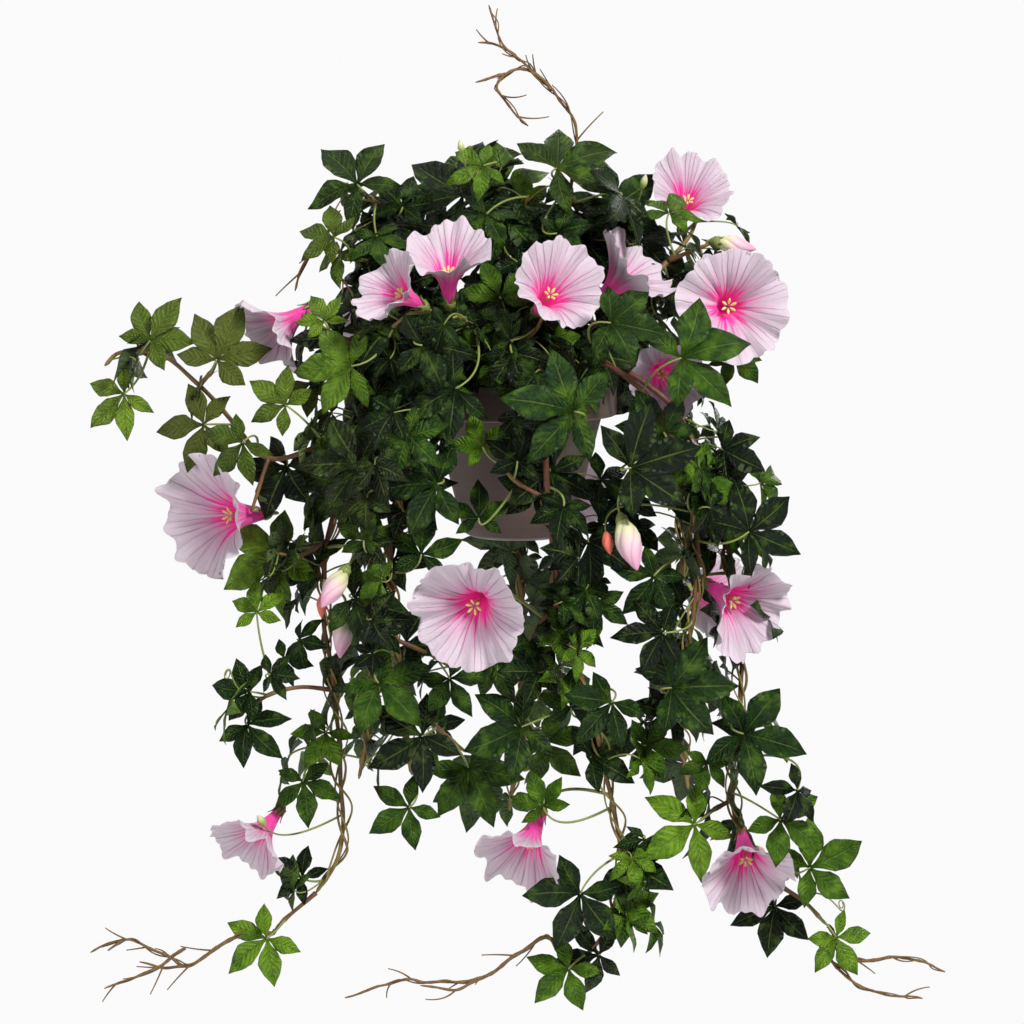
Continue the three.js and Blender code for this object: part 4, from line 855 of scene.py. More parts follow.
def leaves_and_stem(name):
    """One leafy stem: its canes, the stalks of its leaves, and the leaflets."""
    frames, traits = frames_of(hero_leaves[name])
    hub, ahead, side, normal, reach = frames
    roots = nearest(STEM_SAMPLES[name], hub - 0.5 * reach[:, None] * ahead)
    parts = []
    for index, points in enumerate(STEMS[name]["canes"]):
        radii = SHOOT_RADII if index else CANE_RADII
        points = points if index else [[points[0][0], points[0][1], CANE_FOOT]] + points
        path, radius, share = cane_tube(points, radii, index + len(name), roots)
        age = 0.15 + 0.55 * share if index else 0.05 + 0.7 * share**2
        parts.append(tubes(path[None], radius[None], CANE_SIDES, age=age[None, :, None]))
    parts.append(stalks(hub + 0.35 * normal, -ahead, roots, 0.8, 18, 8, 1.9))
    if name in TRAILING:
        parts += strands(name)
    make_piece(f"{name}_canes", parts, BARK, "leaf", name)
    rings = leaflet_rings(frames, traits, 15, 7, LEAF_RNG)
    tone, sage = tone_of(hub, reach, LEAF_RNG)
    make_piece(f"{name}_leaves", [loft(rings, tone=np.repeat(tone, 5), sage=np.repeat(sage, 5))], LEAF_CLOTH,
               "leaf", name)


for stem_name in STEMS:
    leaves_and_stem(stem_name)

# ---- blooms ----
# A bloom is one printed fabric funnel, heat-pressed into pleats, with a frilled rim of ten lobes.
# It sits in a green moulded calyx on a wire stalk that is pushed into its cane.
# Each row is its mouth x, y, z, its facing, lift, rim radius and stem.
BLOOMS = [
    [132, 15, 264, 12, 40, 36, "right_up"], [157, -75, 178, 5, 4, 44, "right_up"],
    [90, -55, 210, 64, 42, 40, "right_up"], [31, -105, 197, 25, 30, 40, "top_right"],
    [-51, -95, 221, -5, 66, 38, "front_mid"], [-95, -128, 196, -50, 25, 33, "left_up"],
    [-185, -70, 154, -60, -30, 37, "left_up"], [-229, -95, 26, -48, 3, 48, "left_arm"],
    [-36, -172, -36, -14, -12, 44, "centre_trail"], [170, -115, -43, 40, -20, 42, "right_trail"],
    [-200, -95, -222, -42, -35, 35, "left_trail"], [0, -115, -229, -32, -45, 40, "centre_trail"],
    [168, -130, -236, 3, -34, 40, "right_trail"], [112, -30, 119, 12, -15, 34, "right_up"],
    [-120, 150, 150, 215, 20, 40, "back_left"], [40, 195, 10, 172, 0, 42, "back_mid"],
    [165, 145, -70, 140, -15, 40, "back_right"],
]
BLOOM_LENGTH = 1.22
BLOOM_PROFILE_AT = [0, 0.1, 0.28, 0.44, 0.58, 0.7, 0.8, 0.88, 0.95, 1]
BLOOM_PROFILE_WIDE = [0.075, 0.1, 0.145, 0.2, 0.29, 0.42, 0.57, 0.72, 0.88, 1]
RIM_SHARE = (0.89, 0.99)
LARGE_BLOOM = 42
RIM_WAVES = ((5, 0.07), (10, 0.045))
RIM_LEAN = ((1, 0.1), (2, 0.05))
FRILL = ((3, 0.035), (7, 0.045), (11, 0.04), (16, 0.03), (21, 0.02))
NOTCH, SCALLOP, TEAR, PLEAT = 0.036, 0.04, 0.06, 0.11
PETAL_THICKNESS = 0.3
BLOOM_SIDES, BLOOM_ROWS = 120, 24
PETAL, PETAL_EDGE, PETAL_CLOUD = (198, 178, 191), (203, 190, 199), (192, 152, 178)
THROAT, BLUSH, VEIN = (240, 40, 156), (210, 104, 168), (130, 62, 108)
TUBE, TUBE_LINE = (220, 36, 142), (150, 16, 92)
# The second value is the petals' emission strength: painted light that lifts the shade in the funnel.
THROAT_REACH, THROAT_PAINTED_LIGHT = 0.33, 0.2
VEIN_COUNT = 40.0
CALYX_RADIUS, CALYX_SIDES = 4.9, 15
SEPAL_LENGTH, SEPAL_WIDTH = 11, 2.7
CALYX_GREEN_AGE, CALYX_DRY_AGE = 2.0, 0.6
DRY_BELOW = -180


def across(axis):
    """Two ways square to an axis and each other, set as the solid's are."""
    guide = np.array([0, 0, 1.0]) if abs(axis[2]) < 0.9 else np.array([1.0, 0, 0])
    first = unit(np.cross(guide, axis))
    return first, np.cross(axis, first)


def on_axis(foot, axis, first, second, height, radius, angle):
    """Points at height along an axis and at radius and angle round it, all arrays of one shape."""
    ring = np.cos(angle)[..., None] * first + np.sin(angle)[..., None] * second
    return foot + np.asarray(height)[..., None] * axis + np.asarray(radius)[..., None] * ring


def corolla(bloom, rng):
    """The funnel, out along its outer skin and back down the inner. With s 0 to 1 from foot to rim, a
    the angle and p(s) the profile: r = R p(s) (1 - lobes s^5) + pleats, and h = L s + R s^3 (waves of
    5 and 10 + lean) + R s^5 frill + R pleats toward the rim. Lobes are notches, scallops and tears."""
    foot, axis, radius, spin = [bloom[key] for key in ("foot", "axis", "radius", "spin")]
    f1, f2 = across(axis)
    e1 = f1 * math.cos(spin) + f2 * math.sin(spin)
    e2 = np.cross(axis, e1)
    s = (np.linspace(0, 1, BLOOM_ROWS) ** 0.9)[:, None]
    a = (2 * np.pi * np.arange(BLOOM_SIDES) / BLOOM_SIDES)[None]
    wide = np.interp(s, BLOOM_PROFILE_AT, BLOOM_PROFILE_WIDE)
    wide[1:-1] = 0.25 * wide[:-2] + 0.5 * wide[1:-1] + 0.25 * wide[2:]
    notch = NOTCH * np.sin(1.5 * a + spin) ** 2 * (1 - np.cos(10 * a + np.sin(a + spin)))
    lobe = 1 - RIM_SHARE[radius > LARGE_BLOOM] + notch + SCALLOP * np.sin(3.5 * a + rng.uniform(0, 6)) ** 2
    where = 0.5 + 0.5 * np.sin(4 * a + rng.uniform(0, 6))
    lobe = lobe + TEAR * where * np.sin(13 * a + rng.uniform(0, 6)) ** 6
    r = radius * wide * (1 - lobe * s**5)
    wave = sum(size * np.cos(n * a) for n, size in RIM_WAVES)
    frill = sum(size * np.sin(n * a + rng.uniform(0, 6)) for n, size in FRILL)
    pleat = np.abs(np.sin(5 * a + 0.2 * np.sin(3 * a))) ** 0.55 - 0.62
    lean = sum(size * np.cos(n * a + rng.uniform(0, 6)) for n, size in RIM_LEAN)
    h = BLOOM_LENGTH * radius * s + radius * s**3 * (wave - 0.02 + lean)
    h = h + radius * (frill * s**5 + PLEAT * pleat * np.sin(np.pi * np.clip(s * 1.4 - 0.4, 0, 1)))
    r = r + 0.012 * radius * pleat * np.sin(np.pi * s)
    lining = np.maximum(r - PETAL_THICKNESS, 0.6)[:0:-1], (h + PETAL_THICKNESS * 0.8)[:0:-1]
    rings_r, rings_h = np.concatenate([r, lining[0]]), np.concatenate([h + 0.3, lining[1]])
    points = on_axis(foot, axis, e1, e2, rings_h, rings_r, np.broadcast_to(a, rings_r.shape))
    share = np.concatenate([wide, wide[:0:-1]])
    inside = np.repeat([0, 1], [BLOOM_ROWS, BLOOM_ROWS - 1])[:, None]
    return loft(points[None], rad=share[None], inside=inside[None])


def petal_cloth():
    """Petal print: magenta throat that breaks into streaks, fine mauve veins that fork out to a pale
    rim; the outside has a striped magenta tube. The tag rad is the share of the rim, turn the way round,
    and inside is 1 on the lining. A little subsurface lets light through the thin cloth, and the throat
    and inner petals give off a faint light of their own: painted light that lifts the shade in the funnel."""
    finish, tree, shader = new_finish("petal_cloth", 0.55, 0.3)
    for key, value in (("Sheen Weight", 0.2), ("Subsurface Weight", 0.2), ("Emission Strength", THROAT_PAINTED_LIGHT),
                       ("Subsurface Radius", (0.002, 0.001, 0.0015))):
        shader.inputs[key].default_value = value
    rad, inside = tag_of(tree, "rad"), tag_of(tree, "inside")
    cloud, weave, skin = place_grain(tree, 70.0, 1500.0, 0.00025)
    turn = maths(tree, "ADD", grid_of(tree)[1], times(tree, minus(tree, cloud, 0.5), 0.012))
    angle = times(tree, turn, 2 * np.pi)
    spot = add_node(tree, "ShaderNodeCombineXYZ", {
        0: maths(tree, "COSINE", angle), 1: maths(tree, "SINE", angle), 2: times(tree, rad, 0.1)}).outputs[0]
    noise = add_node(tree, "ShaderNodeTexNoise", {"Vector": spot, "Scale": 9.0, "Detail": 3.0})
    streak = noise.outputs["Fac"]
    star = maths(tree, "COSINE", times(tree, turn, 10 * np.pi))
    reach = times(tree, star, 0.035, times(tree, minus(tree, streak, 0.5), 0.8, THROAT_REACH))
    throat = step_of(tree, minus(tree, reach, rad), -0.05, 0.1)
    blush = step_of(tree, minus(tree, maths(tree, "ADD", reach, 0.26), rad), -0.14, 0.3)
    fork = times(tree, maths(tree, "SINE", times(tree, turn, 20 * np.pi)), times(tree, rad, 0.0065))
    veins = maths(tree, "PINGPONG", times(tree, maths(tree, "ADD", turn, fork), VEIN_COUNT), 0.5)
    line = times(tree, step_of(tree, veins, 0.38, 0.49), times(tree, streak, 4.0, -1.3, clamp=True))
    fade = times(tree, step_of(tree, rad, 0.12, 0.35), minus(tree, 1.0, step_of(tree, rad, 0.72, 1.0)))
    ink = times(tree, line, times(tree, fade, 0.85, 0.05), clamp=True)
    colour = mix_of(tree, step_of(tree, rad, 0.5, 1.0), linear(PETAL), linear(PETAL_EDGE))
    colour = mix_of(tree, times(tree, minus(tree, cloud, 0.35), 0.5, clamp=True), colour, linear(PETAL_CLOUD))
    colour = mix_of(tree, times(tree, blush, 0.42), colour, linear(BLUSH))
    colour = mix_of(tree, times(tree, ink, times(tree, inside, 0.22, 0.26)), colour, linear(VEIN))
    inner = mix_of(tree, throat, colour, linear(THROAT))
    deep = step_of(tree, minus(tree, times(tree, streak, 0.3, 0.28), rad), -0.06, 0.26)
    tube = mix_of(tree, times(tree, line, 0.5), linear(TUBE), linear(TUBE_LINE))
    whole = mix_of(tree, inside, mix_of(tree, times(tree, deep, 0.95), colour, tube), inner)
    # The throat and inner petals give off their own colour faintly, fading out by 0.42 of the rim: painted
    # light.
    throat_painted_glow = mix_of(tree, step_of(tree, rad, 0.12, 0.42), whole, (0, 0, 0, 1))
    tree.links.new(throat_painted_glow, shader.inputs["Emission Color"])
    raised = times(tree, line, -1.6, weave)
    return wired(finish, whole, times(tree, weave, 0.2, 0.45), bumped(tree, raised, 0.0003, skin))


def calyx_cup(foot, axis, first, second):
    """The green cup behind the foot: a round belly of CALYX_RADIUS, from its neck to 2.5 mm up."""
    t = np.linspace(0, 1, 9)[:, None]
    angle = 2 * np.pi * np.arange(CALYX_SIDES)[None] / CALYX_SIDES
    height = -CALYX_RADIUS + (CALYX_RADIUS + 2.5) * t
    radius = 1.3 + (CALYX_RADIUS - 1.6) * np.sin(np.pi / 2 * t) ** 0.8
    radius = radius * (1 + 0.06 * np.cos(5 * angle))
    height, angle = np.broadcast_arrays(height, angle)
    return on_axis(foot, axis, first, second, height, radius, angle)[None]


def sepals(foot, axis, first, second):
    """Five pointed sepals that hug the tube and flare at their tips, each a thin closed leaf."""
    t = np.linspace(0, 1, 7)[:, None]
    across_sepal = np.array([-1, 0, 1, 0])[None]
    out = np.array([0, 0.35, 0, -0.35])[None]
    wide = SEPAL_WIDTH * np.interp(t, [0, 0.3, 0.7, 1], [0.75, 1, 0.6, 0.08])
    height = -1.5 + SEPAL_LENGTH * t + 0 * out
    radius = CALYX_RADIUS - 0.9 + 2.6 * t**2.2 + out
    turn = across_sepal * wide / np.maximum(radius, 1)
    cupped = radius - 0.3 * across_sepal**2
    return np.array([on_axis(foot, axis, first, second, height, cupped, 2 * np.pi * (k + 0.5) / 5 + turn)
                     for k in range(5)])


def calyx_and_stalk(name, place, back, stem):
    """The calyx, its sepals and the stalk from its neck, which leaves backwards and bends down into the
    cane, all moulded in one with their stem. Low on the plant they have dried brown."""
    foot, axis = place["foot"], place["axis"]
    cup = foot, axis, *across(axis)
    age = CALYX_DRY_AGE if foot[2] < DRY_BELOW else CALYX_GREEN_AGE
    root = nearest(STEM_SAMPLES[stem], [foot - back * axis])
    make_piece(f"{name}_calyx", [
        loft(calyx_cup(*cup), age=[age]), loft(sepals(*cup), age=[age] * 5),
        stalks([foot - CALYX_RADIUS * axis], [-axis], root, 1.1, 22, 8, 1.7)], BARK, "leaf", stem)


def bloom_place(k):
    """Bloom k: its foot, axis, radius, turn about its axis and stem."""
    x, y, z, facing, lift, radius, stem = BLOOMS[k - 1]
    axis = aim(facing, lift)
    mouth = np.array([x, y, z], float)
    return {"foot": mouth - axis * BLOOM_LENGTH * radius, "axis": axis, "mouth": mouth, "radius": radius,
            "spin": next(dice(300 + k)) * math.pi, "stem": stem}


PETAL_CLOTH = petal_cloth()
BLOOM_RNG = np.random.default_rng(5)
blooms = [bloom_place(k + 1) for k in range(len(BLOOMS))]
for number, bloom in enumerate(blooms, 1):
    piece_name = f"bloom_{number:02d}"
    make_piece(f"{piece_name}_corolla", [corolla(bloom, BLOOM_RNG)], PETAL_CLOTH, "petal", piece_name)
    calyx_and_stalk(piece_name, bloom, 12, bloom["stem"])

# ---- stamens ----
# Six plastic stamens in one moulding stand in each throat, their anthers spread in a cream star.
STAMEN_COUNT = 6
STAMEN_REACH, STAMEN_SPREAD = 0.6, 0.09
ANTHER_LENGTH, ANTHER_RADIUS = 0.12, 0.95
POLLEN, POLLEN_DUST, FILAMENT = (232, 214, 132), (206, 176, 96), (226, 180, 190)


def pollen_plastic():
    """Cream plastic with a dusty yellow head and a paler filament, by the tag head."""
    finish, tree, _ = new_finish("pollen_plastic", 0.7, 0.3)
    cloud, fine, skin = place_grain(tree, 420.0, 2200.0, 0.0004)
    colour = mix_of(tree, tag_of(tree, "head"), linear(FILAMENT), linear(POLLEN))
    colour = mix_of(tree, times(tree, cloud, 0.6), colour, linear(POLLEN_DUST))
    return wired(finish, colour, times(tree, fine, 0.3, 0.5), skin)


def stamen_lofts(bloom):
    """Filaments from near the foot to a ring of radius 0.55 STAMEN_SPREAD R, and a plump anther on each
    that leans out to the light."""
    foot, axis, radius = bloom["foot"], bloom["axis"], bloom["radius"]
    e1, e2 = across(axis)
    angle = 2 * np.pi * (np.arange(STAMEN_COUNT) + 0.25) / STAMEN_COUNT + bloom["spin"]
    out = np.cos(angle)[:, None] * e1 + np.sin(angle)[:, None] * e2
    length = BLOOM_LENGTH * radius
    start = foot + 2.6 * axis + 0.9 * out
    tip = foot + STAMEN_REACH * length * axis + STAMEN_SPREAD * 0.55 * radius * out
    bend = foot + 0.45 * length * axis + 0.6 * out
    filaments = tubes(quad_curve(start, bend, tip, 12), np.full(12, 0.5), 6, head=np.zeros(STAMEN_COUNT))
    t = np.linspace(0, 1, 9)
    low = tip - 0.3 * ANTHER_LENGTH * radius * (axis + 0.2 * out)
    high = low + ANTHER_LENGTH * radius * unit(0.75 * out + 0.65 * axis)
    paths = low[:, None] + (high - low)[:, None] * t[:, None]
    plump = ANTHER_RADIUS * (0.15 + np.sin(np.pi * np.clip(t * 0.96 + 0.02, 0, 1)) ** 0.6)
    return [filaments, tubes(paths, plump, 9, head=np.ones(STAMEN_COUNT))]


POLLEN_PLASTIC = pollen_plastic()
for number, bloom in enumerate(blooms, 1):
    piece_name = f"stamens_{number:02d}"
    make_piece(f"{piece_name}_moulding", stamen_lofts(bloom), POLLEN_PLASTIC, "stamen", piece_name)

# ---- buds ----
# Furled blooms: one spiral-folded spindle of pink fabric, green at its foot, in a calyx of its own.
# Smaller coral and green buds stand among the leaves on wires.
# Each row is its foot x, y, z, its facing, lift, length and stem, and for a small bud its green.
BUDS = [
    [147, -30, 223, 75, -10, 30, "right_up"], [74, -140, 30, 30, -58, 40, "right_front"],
    [-124, -120, -10, -42, -45, 34, "left_trail"], [-126, -95, -46, -20, -72, 32, "left_trail"],
]
SMALL_BUDS = [
    (63, -136, 20, 20, -60, 17, "right_front", -1), (-141, -114, -28, -10, -75, 17, "left_trail", -1),
    (-40, -70, 288, -20, 60, 11, "top_mid", 0.7), (-186, -96, -204, -35, 50, 13, "left_trail", 0.7),
    (178, -84, -222, 20, -20, 13, "right_trail", 0), (92, -30, 262, 25, 60, 12, "top_right", 0.7),
]
BUD_AT = [0, 0.06, 0.15, 0.25, 0.4, 0.5, 0.65, 0.78, 0.9, 1]
BUD_WIDE = [0.09, 0.11, 0.155, 0.195, 0.225, 0.222, 0.19, 0.14, 0.08, 0.02]
BUD_FOLDS, BUD_TWIST = 5, 2.4
BUD_SIDES, BUD_ROWS = 40, 26
BUD_STOPS = ((0.0, (146, 168, 84)), (0.3, (204, 204, 160)), (0.62, (212, 180, 190)), (1.0, (206, 146, 174)))
BUD_CORAL, BUD_FOLD_SHADE = (206, 104, 88), (170, 96, 110)


def bud_cloth():
    """Furled fabric: yellow-green at the foot to pink, a darker line painted along each spiral fold
    as painted shade in its crease. The tag green is 0 for a large bud, to 1 for an unripe one and -1 for a
    coral one."""
    finish, tree, _ = new_finish("bud_cloth", 0.55, 0.3)
    along, around = grid_of(tree)
    cloud, fine, skin = place_grain(tree, 160.0, 1500.0, 0.0003)
    green = tag_of(tree, "green")
    rise = maths(tree, "ADD", along, times(tree, cloud, 0.12))
    colour = ramp_of(tree, minus(tree, rise, times(tree, green, 0.75)), BUD_STOPS)
    # fold marks the valley of each fold; the darker line there is painted shade in the crease.
    fold = step_of(tree, maths(tree, "PINGPONG", times(tree, around, float(BUD_FOLDS)), 0.5), 0.36, 0.5)
    colour = mix_of(tree, times(tree, green, -1.0, clamp=True), colour, linear(BUD_CORAL))
    colour = mix_of(tree, times(tree, fold, 0.3), colour, linear(BUD_FOLD_SHADE))
    return wired(finish, colour, times(tree, fine, 0.25, 0.42), skin)


def furled(foot, axis, length, green):
    """A spindle with BUD_FOLDS folds that twist: r = length p(s) (0.95 + 0.11 |cos(BUD_FOLDS a / 2)|),
    its angle a turned on by BUD_TWIST s."""
    first, second = across(axis)
    s = np.linspace(0, 1, BUD_ROWS)[:, None]
    a = 2 * np.pi * np.arange(BUD_SIDES)[None] / BUD_SIDES
    radius = length * np.interp(s, BUD_AT, BUD_WIDE) * (0.95 + 0.11 * np.abs(np.cos(BUD_FOLDS / 2 * a)))
    height, angle = np.broadcast_arrays(0.3 + length * s, a + BUD_TWIST * s)
    return loft(on_axis(foot, axis, first, second, height, radius, angle)[None], green=[green])


def small_bud(number, x, y, z, facing, lift, length, stem, green):
    """A small closed bud on its wire, rooted in the nearest cane of its stem."""
    foot, axis = np.array([x, y, z], float), aim(facing, lift)
    make_piece(f"small_bud_{number}", [furled(foot, axis, length, green)], BUD_CLOTH, "bud")
    wire = stalks([foot + 0.6 * axis], [-axis], nearest(STEM_SAMPLES[stem], [foot]), 0.7, 20, 7, 1.8)
    make_piece(f"small_bud_{number}_wire", [wire], BARK, "leaf")


BUD_CLOTH = bud_cloth()
for number, (x, y, z, facing, lift, length, stem) in enumerate(BUDS, 1):
    piece_name = f"bud_{number}"
    place = {"foot": np.array([x, y, z], float), "axis": aim(facing, lift)}
    make_piece(f"{piece_name}_furled", [furled(place["foot"], place["axis"], length, 0)], BUD_CLOTH, "bud",
               piece_name)
    calyx_and_stalk(piece_name, place, 10, stem)
for number, row in enumerate(SMALL_BUDS, 1):
    small_bud(number, *row)

# ---- twigs ----
# Bare curly sprays of wire wrapped in brown paper stand in the crown and end four of the stems.
# A spray stands in a hole of the filler, or goes on from the end of a shoot of its stem.
TWIGS = {
    "top_twigs": {"hole": [20, 36], "canes": [
        [[20, 36, 111], [32, 30, 215], [45, 20, 298], [26, 15, 335], [2, 10, 357], [-13, 5, 372],
         [-21, 0, 397]],
        [[26, 15, 335], [9, 10, 350], [-9, 5, 347], [-15, 0, 336], [-4, -5, 320], [8, -5, 308]],
        [[-9, 5, 347], [-31, 0, 341]],
        [[2, 10, 357], [-15, 12, 369], [-30, 12, 370]],
    ]},
    "left_loop_twigs": {"stem": "top_left", "shoot": 1, "canes": [
        [[-134, -22, 217], [-143, -25, 220], [-158, -25, 208], [-166, -25, 186]],
        [[-134, -22, 217], [-138, -20, 208], [-128, -25, 191], [-121, -28, 180]],
        [[-143, -25, 220], [-139, -22, 235], [-132, -20, 246]],
    ]},
    "lower_left_twigs": {"stem": "left_trail", "shoot": 3, "canes": [
        [[-196, -76, -288], [-222, -78, -299], [-245, -80, -314], [-263, -80, -306], [-293, -80, -294],
         [-319, -80, -304]],
        [[-245, -80, -314], [-263, -82, -315], [-282, -82, -311]],
        [[-293, -80, -294], [-305, -82, -302]],
    ]},
    "lower_centre_twigs": {"stem": "centre_trail", "shoot": 3, "canes": [
        [[23, -90, -290], [2, -90, -301], [-28, -90, -321], [-65, -92, -323], [-87, -92, -322],
         [-128, -92, -335]],
        [[-28, -90, -321], [-46, -95, -328], [-72, -96, -324]],
    ]},
    "lower_right_twigs": {"stem": "right_trail", "shoot": 2, "canes": [
        [[248, -80, -309], [289, -82, -307], [319, -84, -317]],
    ]},
}
TWIG_LEAD = 5
TWIG_RADII, SPRIG_RADII = (1.7, 0.7), (0.75, 0.4)
TWIG_RING_GAP = 2.6
TWIG_KNOT_WAY, TWIG_KNOT_RISE = 11, 0.28
TWIG_SHAKE = 0.45
LONG_TWIG = 60
EXTRA_TWIGS = {
    "lower_right_twigs": [[(222, -80, -292), (240, -84, -316), (264, -88, -331), (302, -90, -336)]],
    "lower_left_twigs": [[(-246, -96, -296), (-270, -98, -312), (-306, -100, -326)]],
}
TWIG_DARK, TWIG_PALE, TWIG_SEAM = (84, 62, 42), (140, 112, 76), (56, 40, 28)
BOX_LOW, BOX_HIGH = np.array(cad_box) / MM


def twig_bark():
    """Wrapped bark: brown with paler clouds, a dark seam that winds round it and a rough skin."""
    finish, tree, _ = new_finish("twig_bark", 0.8, 0.25)
    along, around = grid_of(tree)
    cloud, fine, skin = place_grain(tree, 260.0, 1100.0, 0.0008)
    seam = step_of(tree, maths(tree, "PINGPONG", times(tree, along, 46.0, around), 0.5), 0.4, 0.5)
    colour = mix_of(tree, cloud, linear(TWIG_DARK), linear(TWIG_PALE))
    colour = mix_of(tree, times(tree, seam, 0.4), colour, linear(TWIG_SEAM))
    return wired(finish, colour, times(tree, fine, 0.2, 0.68), skin)


def twig_lines(name):
    """The twig's own points, its first cane with the way it leads out of its hole or its shoot's end."""
    twig = TWIGS[name]
    first, *others = twig["canes"]
    if "hole" in twig:
        return [[[*twig["hole"], CANE_FOOT]] + first] + others
    shoot = chain(STEMS[twig["stem"]]["canes"][twig["shoot"]])
    onward = unit(shoot[-1] - shoot[-2])
    return [[shoot[-1] + onward * 0.3, shoot[-1] + onward * TWIG_LEAD] + first] + others


def twig_line(points, seed):
    """The softened line of a twig, shaken by TWIG_SHAKE past its root, and the way along it in mm."""
    points = np.array(points, float)
    length = way_along(points)[-1]
    way = np.linspace(0, 1, max(10, int(length / TWIG_RING_GAP))) * length
    path = line_at(points, way)
    shake = np.stack([np.sin(way / 5 + seed), np.cos(way / 6.3 + seed), np.sin(way / 4.4)], 1)
    path[2:] += TWIG_SHAKE * shake[2:]
    return path, way


def sprigs(path, way, rng):
    """Side sprigs every 13 to 30 mm: short bent tubes that leave forward and out, on either side."""
    out = []
    spot = rng.uniform(16, 26)
    while spot < way[-1] - 6:
        i = int(np.searchsorted(way, spot))
        ahead = unit(path[min(i + 1, len(path) - 1)] - path[i - 1])
        side = unit(np.cross(ahead, rng.normal(0, 1, 3)))
        reach = rng.uniform(8, 27)
        bend = path[i] + reach * 0.5 * unit(ahead + 0.8 * side)
        end = bend + reach * 0.6 * unit(ahead * rng.uniform(0.1, 1) + side * rng.uniform(-0.3, 1))
        line = quad_curve([path[i]], [bend], [end], 9)
        if np.all(line > BOX_LOW + 1) and np.all(line < BOX_HIGH - 1):
            out.append(tubes(line, np.linspace(*SPRIG_RADII, 9)[None], 7))
        spot += rng.uniform(13, 30)
    return out


def twig_tubes(name, seed):
    """Tapered tubes with knots, radius = taper (1 + TWIG_KNOT_RISE at each knot), and their sprigs. A
    second wire winds round each long one."""
    out = []
    rng = np.random.default_rng(40 + seed)
    for index, points in enumerate(twig_lines(name) + EXTRA_TWIGS.get(name, [])):
        path, way = twig_line(points, seed)
        thick = TWIG_RADII[0] * (0.75 if index else 1)
        radius = thick + (TWIG_RADII[1] - thick) * way / way[-1]
        radius = radius * (1 + TWIG_KNOT_RISE * np.exp(-(((way % TWIG_KNOT_WAY) - 5) / 1.6) ** 2))
        radius[-1] *= 0.5
        out.append(tubes(path[None], radius[None], 9))
        if way[-1] > LONG_TWIG:
            angle = way / 6.5 + index
            fade = np.minimum(1, np.minimum(way, way[-1] - way) / 10)
            round_way = np.stack([np.cos(angle), np.sin(angle), np.cos(angle + 1)], 1)
            wound = path + (fade * (1.5 + np.sin(way / 19) ** 2))[:, None] * round_way
            out.append(tubes(wound[None], np.linspace(0.75, 0.45, len(way))[None], 7))
        out += sprigs(path, way, rng)
    return out


TWIG_BARK = twig_bark()
for number, twig_name in enumerate(TWIGS):
    make_piece(f"{twig_name}_wrapped", twig_tubes(twig_name, number), TWIG_BARK, "twig", twig_name)

# ---- small leaves ----
# Between the large leaves each cane carries many small ones of the same moulding, on short stalks.
# They face out from the pot, hang a little, and leave the blooms free.
# Each cover leaf is its hub x, y, z, its reach and facing, and 1 where it is an inner one, painted dark as
# shade inside the bush.
SMALL_LEAF_SEED = 23
SMALL_LEAF_TRIALS = 9000
SMALL_LEAF_COUNT = 540
SMALL_LEAF_GAP = 15
INNER_SHARE = 0.4
INNER_REACH, OUTER_REACH = (28, 44), (17, 34)
INNER_WAY, OUTER_WAY = (4, 30), (12, 38)
INNER_SIDE = -0.6
BARE_POT, BARE_STRETCH, BARE_ARM = 0.8, 0.75, 0.93
COVER_LEAVES = [
    (60, -86, 52, 33, 12, 0), (76, -80, 38, 34, 30, 0), (66, -84, 18, 32, 8, 0), (88, -66, 58, 34, 40, 1),
    (84, -70, 16, 30, 20, 1), (-95, -10, 212, 40, -10, 1), (-70, 0, 232, 42, 5, 1),
    (-40, -15, 224, 42, 0, 1), (-10, -8, 238, 40, 0, 1), (22, -5, 232, 40, 10, 1),
    (50, 5, 222, 42, 15, 1), (82, 5, 208, 40, 20, 1), (-110, -25, 188, 38, -30, 1),
    (0, -30, 208, 40, 0, 1), (-28, -12, 250, 34, -8, 1), (38, 0, 250, 34, 12, 1),
    (-84, -25, 190, 40, -15, 1), (8, -50, 176, 38, 4, 1), (-30, -50, 172, 38, -8, 1),
]


def clear_of_blooms(hub, reach):
    """True where a leaf neither cuts a funnel, stands in its mouth nor hides it from the front. A leaf
    doesn't hide a large bud either."""
    free = np.ones(len(hub), bool)
    for bloom in blooms:
        foot, axis, radius = bloom["foot"], bloom["axis"], bloom["radius"]
        height = (hub - foot) @ axis
        away = np.linalg.norm(hub - foot - height[:, None] * axis, axis=1)
        length = BLOOM_LENGTH * radius
        width = radius * np.interp(height / length, BLOOM_PROFILE_AT, BLOOM_PROFILE_WIDE) + 0.55 * reach
        free &= ~((height > -6) & (height < length + 45) & (away < width))
        if axis[1] < 0.2:
            shown = np.linalg.norm((hub - bloom["mouth"])[:, [0, 2]], axis=1)
            free &= ~((shown < radius * 0.95 + 0.5 * reach) & (hub[:, 1] < bloom["mouth"][1] + 25))
    for x, y, z, facing, lift, length, _ in BUDS:
        middle = np.array([x, y, z]) + aim(facing, lift) * length / 2
        shown = np.linalg.norm((hub - middle)[:, [0, 2]], axis=1)
        free &= ~((shown < 0.5 * length + 0.4 * reach) & (hub[:, 1] < y + 15))
    return free


